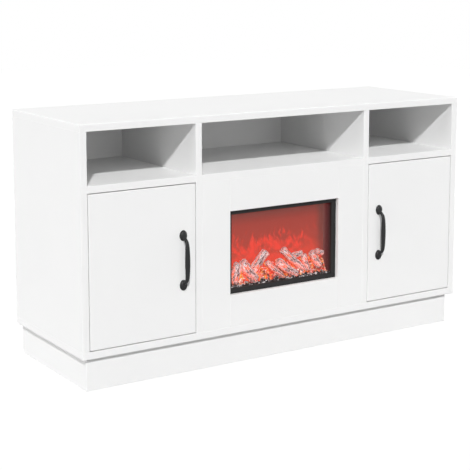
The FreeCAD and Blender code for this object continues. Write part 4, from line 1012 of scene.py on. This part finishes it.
def rocker_marks():
    """A bar on the rocker's upper half and a ring on its lower half, for on and off."""
    rocker = nodes["switch_rocker"]
    pivot = middle_of(*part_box("switch_rocker")).z
    faces = {"upper": [], "lower": []}
    for face in rocker.data.polygons:
        if face.normal.y > 0.9:
            faces["upper" if face.center.z > pivot else "lower"].append(face)
    spots = {}
    for half, found in faces.items():
        area = sum(face.area for face in found)
        place = sum((face.center * face.area for face in found), Vector()) / area
        spots[half] = (place, found[0].normal.copy())
    clear_selection()
    bpy.ops.mesh.primitive_cube_add(size=1.0, scale=(BAR_WIDTH, MARK_SIZE, MARK_RELIEF * 2))
    bar = bpy.context.active_object
    settle(bar)
    edit_all(bar)
    bpy.ops.mesh.bevel(offset=MARK_RELIEF / 2, segments=2, affect="EDGES")
    leave_edit()
    clear_selection()
    bpy.ops.mesh.primitive_torus_add(major_radius=MARK_SIZE / 2, minor_radius=RING_LINE, major_segments=36,
                                     minor_segments=8)
    ring = bpy.context.active_object
    ring.scale = (1, 1, MARK_RELIEF / RING_LINE)
    settle(ring)
    marks = joined([set_out(bar, [spots["upper"]]), set_out(ring, [spots["lower"]])])
    drop(bar)
    drop(ring)
    smooth(marks, 40)
    fit_out(marks, "rocker_marks", "rocker", MARK_PAINT)


def catch_poles():
    """Two steel strips let into each catch, which draw the strike plate."""
    low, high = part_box("door_catches")
    centre = middle_of(low, high)
    clear_selection()
    bpy.ops.mesh.primitive_cube_add(size=1.0, scale=(POLE_LENGTH, POLE_HEIGHT, POLE_RELIEF * 2))
    pole = bpy.context.active_object
    settle(pole)
    edit_all(pole)
    bpy.ops.mesh.bevel(offset=POLE_RELIEF / 2, segments=2, affect="EDGES")
    leave_edit()
    spots = []
    for side in SIDES.values():
        for end in (-1, 1):
            spots.append(((side * (high.x - CATCH_WIDTH / 2), low.y, centre.z + end * POLE_HEIGHT), -BACK))
    poles = set_out(pole, spots)
    drop(pole)
    fit_out(poles, "catch_poles", "cabinet", FINISHES["zinc"])


def small_fasteners():
    """Screws, nails, shelf pins, switch marks and catch strips."""
    screw_head = cross_head(SCREW_RADIUS, SCREW_HEIGHT)
    flush_head = cross_head(FLUSH_SCREW_RADIUS, FLUSH_SCREW_HEIGHT)
    for side in SIDES:
        door_screws(screw_head, flush_head, side)
        pan_screws(side)
    cabinet_screws(screw_head)
    drop(screw_head)
    drop(flush_head)
    back_nails()
    turned_pins()
    rocker_marks()
    catch_poles()


def looked_at(tree):
    """1 for what the camera sees straight, in a shine or through glass, and 0 for light on the object."""
    path = tree.nodes.new("ShaderNodeLightPath")
    seen = path.outputs["Is Camera Ray"]
    for kind in ("Is Glossy Ray", "Is Transmission Ray"):
        either = tree.nodes.new("ShaderNodeMath")
        either.operation = "MAXIMUM"
        tree.links.new(seen, either.inputs[0])
        tree.links.new(path.outputs[kind], either.inputs[1])
        seen = either.outputs[0]
    return seen


def studio_floor():
    """Pale floor: white to look at apart from the shadow on it."""
    clear_selection()
    bpy.ops.mesh.primitive_plane_add(size=FLOOR_SIZE, location=FLOOR_PLACE)
    floor = bpy.context.active_object
    floor.name = "studio_floor"
    finish = Finish("studio_floor")
    finish.set(Roughness=0.9, Base_Color=colour(FLOOR_PALE, FLOOR_PALE, FLOOR_PALE), Specular_IOR_Level=0.0)
    tree = finish.tree
    white = tree.nodes.new("ShaderNodeEmission")
    white.inputs["Color"].default_value = colour(1, 1, 1)
    white.inputs["Strength"].default_value = FLOOR_WHITE
    share = finish.product(looked_at(tree), FLOOR_WHITE_SHARE)
    blend = tree.nodes.new("ShaderNodeMixShader")
    finish.link(share, blend.inputs["Fac"])
    finish.link(finish.shader.outputs["BSDF"], blend.inputs[1])
    finish.link(white.outputs["Emission"], blend.inputs[2])
    finish.link(blend.outputs["Shader"], tree.nodes["Material Output"].inputs["Surface"])
    floor.data.materials.append(finish.material)


def studio_world():
    """White to look at, and a plain soft level of light on the object."""
    world = bpy.data.worlds.new("studio_world")
    bpy.context.scene.world = world
    world.use_nodes = True
    tree = world.node_tree
    tree.nodes.clear()
    shades = []
    for strength in (SOFT_LIGHT, 1.0):
        shade = tree.nodes.new("ShaderNodeBackground")
        shade.inputs["Color"].default_value = colour(1, 1, 1)
        shade.inputs["Strength"].default_value = strength
        shades.append(shade.outputs["Background"])
    blend = tree.nodes.new("ShaderNodeMixShader")
    tree.links.new(looked_at(tree), blend.inputs["Fac"])
    tree.links.new(shades[0], blend.inputs[1])
    tree.links.new(shades[1], blend.inputs[2])
    output = tree.nodes.new("ShaderNodeOutputWorld")
    tree.links.new(blend.outputs["Shader"], output.inputs["Surface"])


def sun(name, toward, strength, softness):
    """A wide, even lamp that shines one way."""
    lamp = bpy.data.lights.new(name, "SUN")
    lamp.energy = strength
    lamp.angle = math.radians(softness)
    holder = bpy.data.objects.new(name, lamp)
    holder.rotation_euler = Vector(toward).to_track_quat("-Z", "Y").to_euler()
    bpy.context.scene.collection.objects.link(holder)


def camera():
    """The photograph's viewpoint, framed a little wider so that the whole top shows."""
    view = bpy.data.cameras.new("camera")
    view.lens = CAMERA_LENS
    view.sensor_width = CAMERA_SENSOR
    view.shift_y = CAMERA_SHIFT
    holder = bpy.data.objects.new("camera", view)
    holder.location = CAMERA_PLACE
    holder.rotation_euler = (math.radians(90 - CAMERA_DIP), 0, math.radians(CAMERA_TURN))
    bpy.context.scene.collection.objects.link(holder)
    bpy.context.scene.camera = holder


for side in SIDES:
    cast_handle(side)
fire()
small_fasteners()
studio_floor()
studio_world()
for lamp in LAMPS:
    sun(*lamp)
camera()
bpy.context.scene.view_settings.view_transform = "Standard"
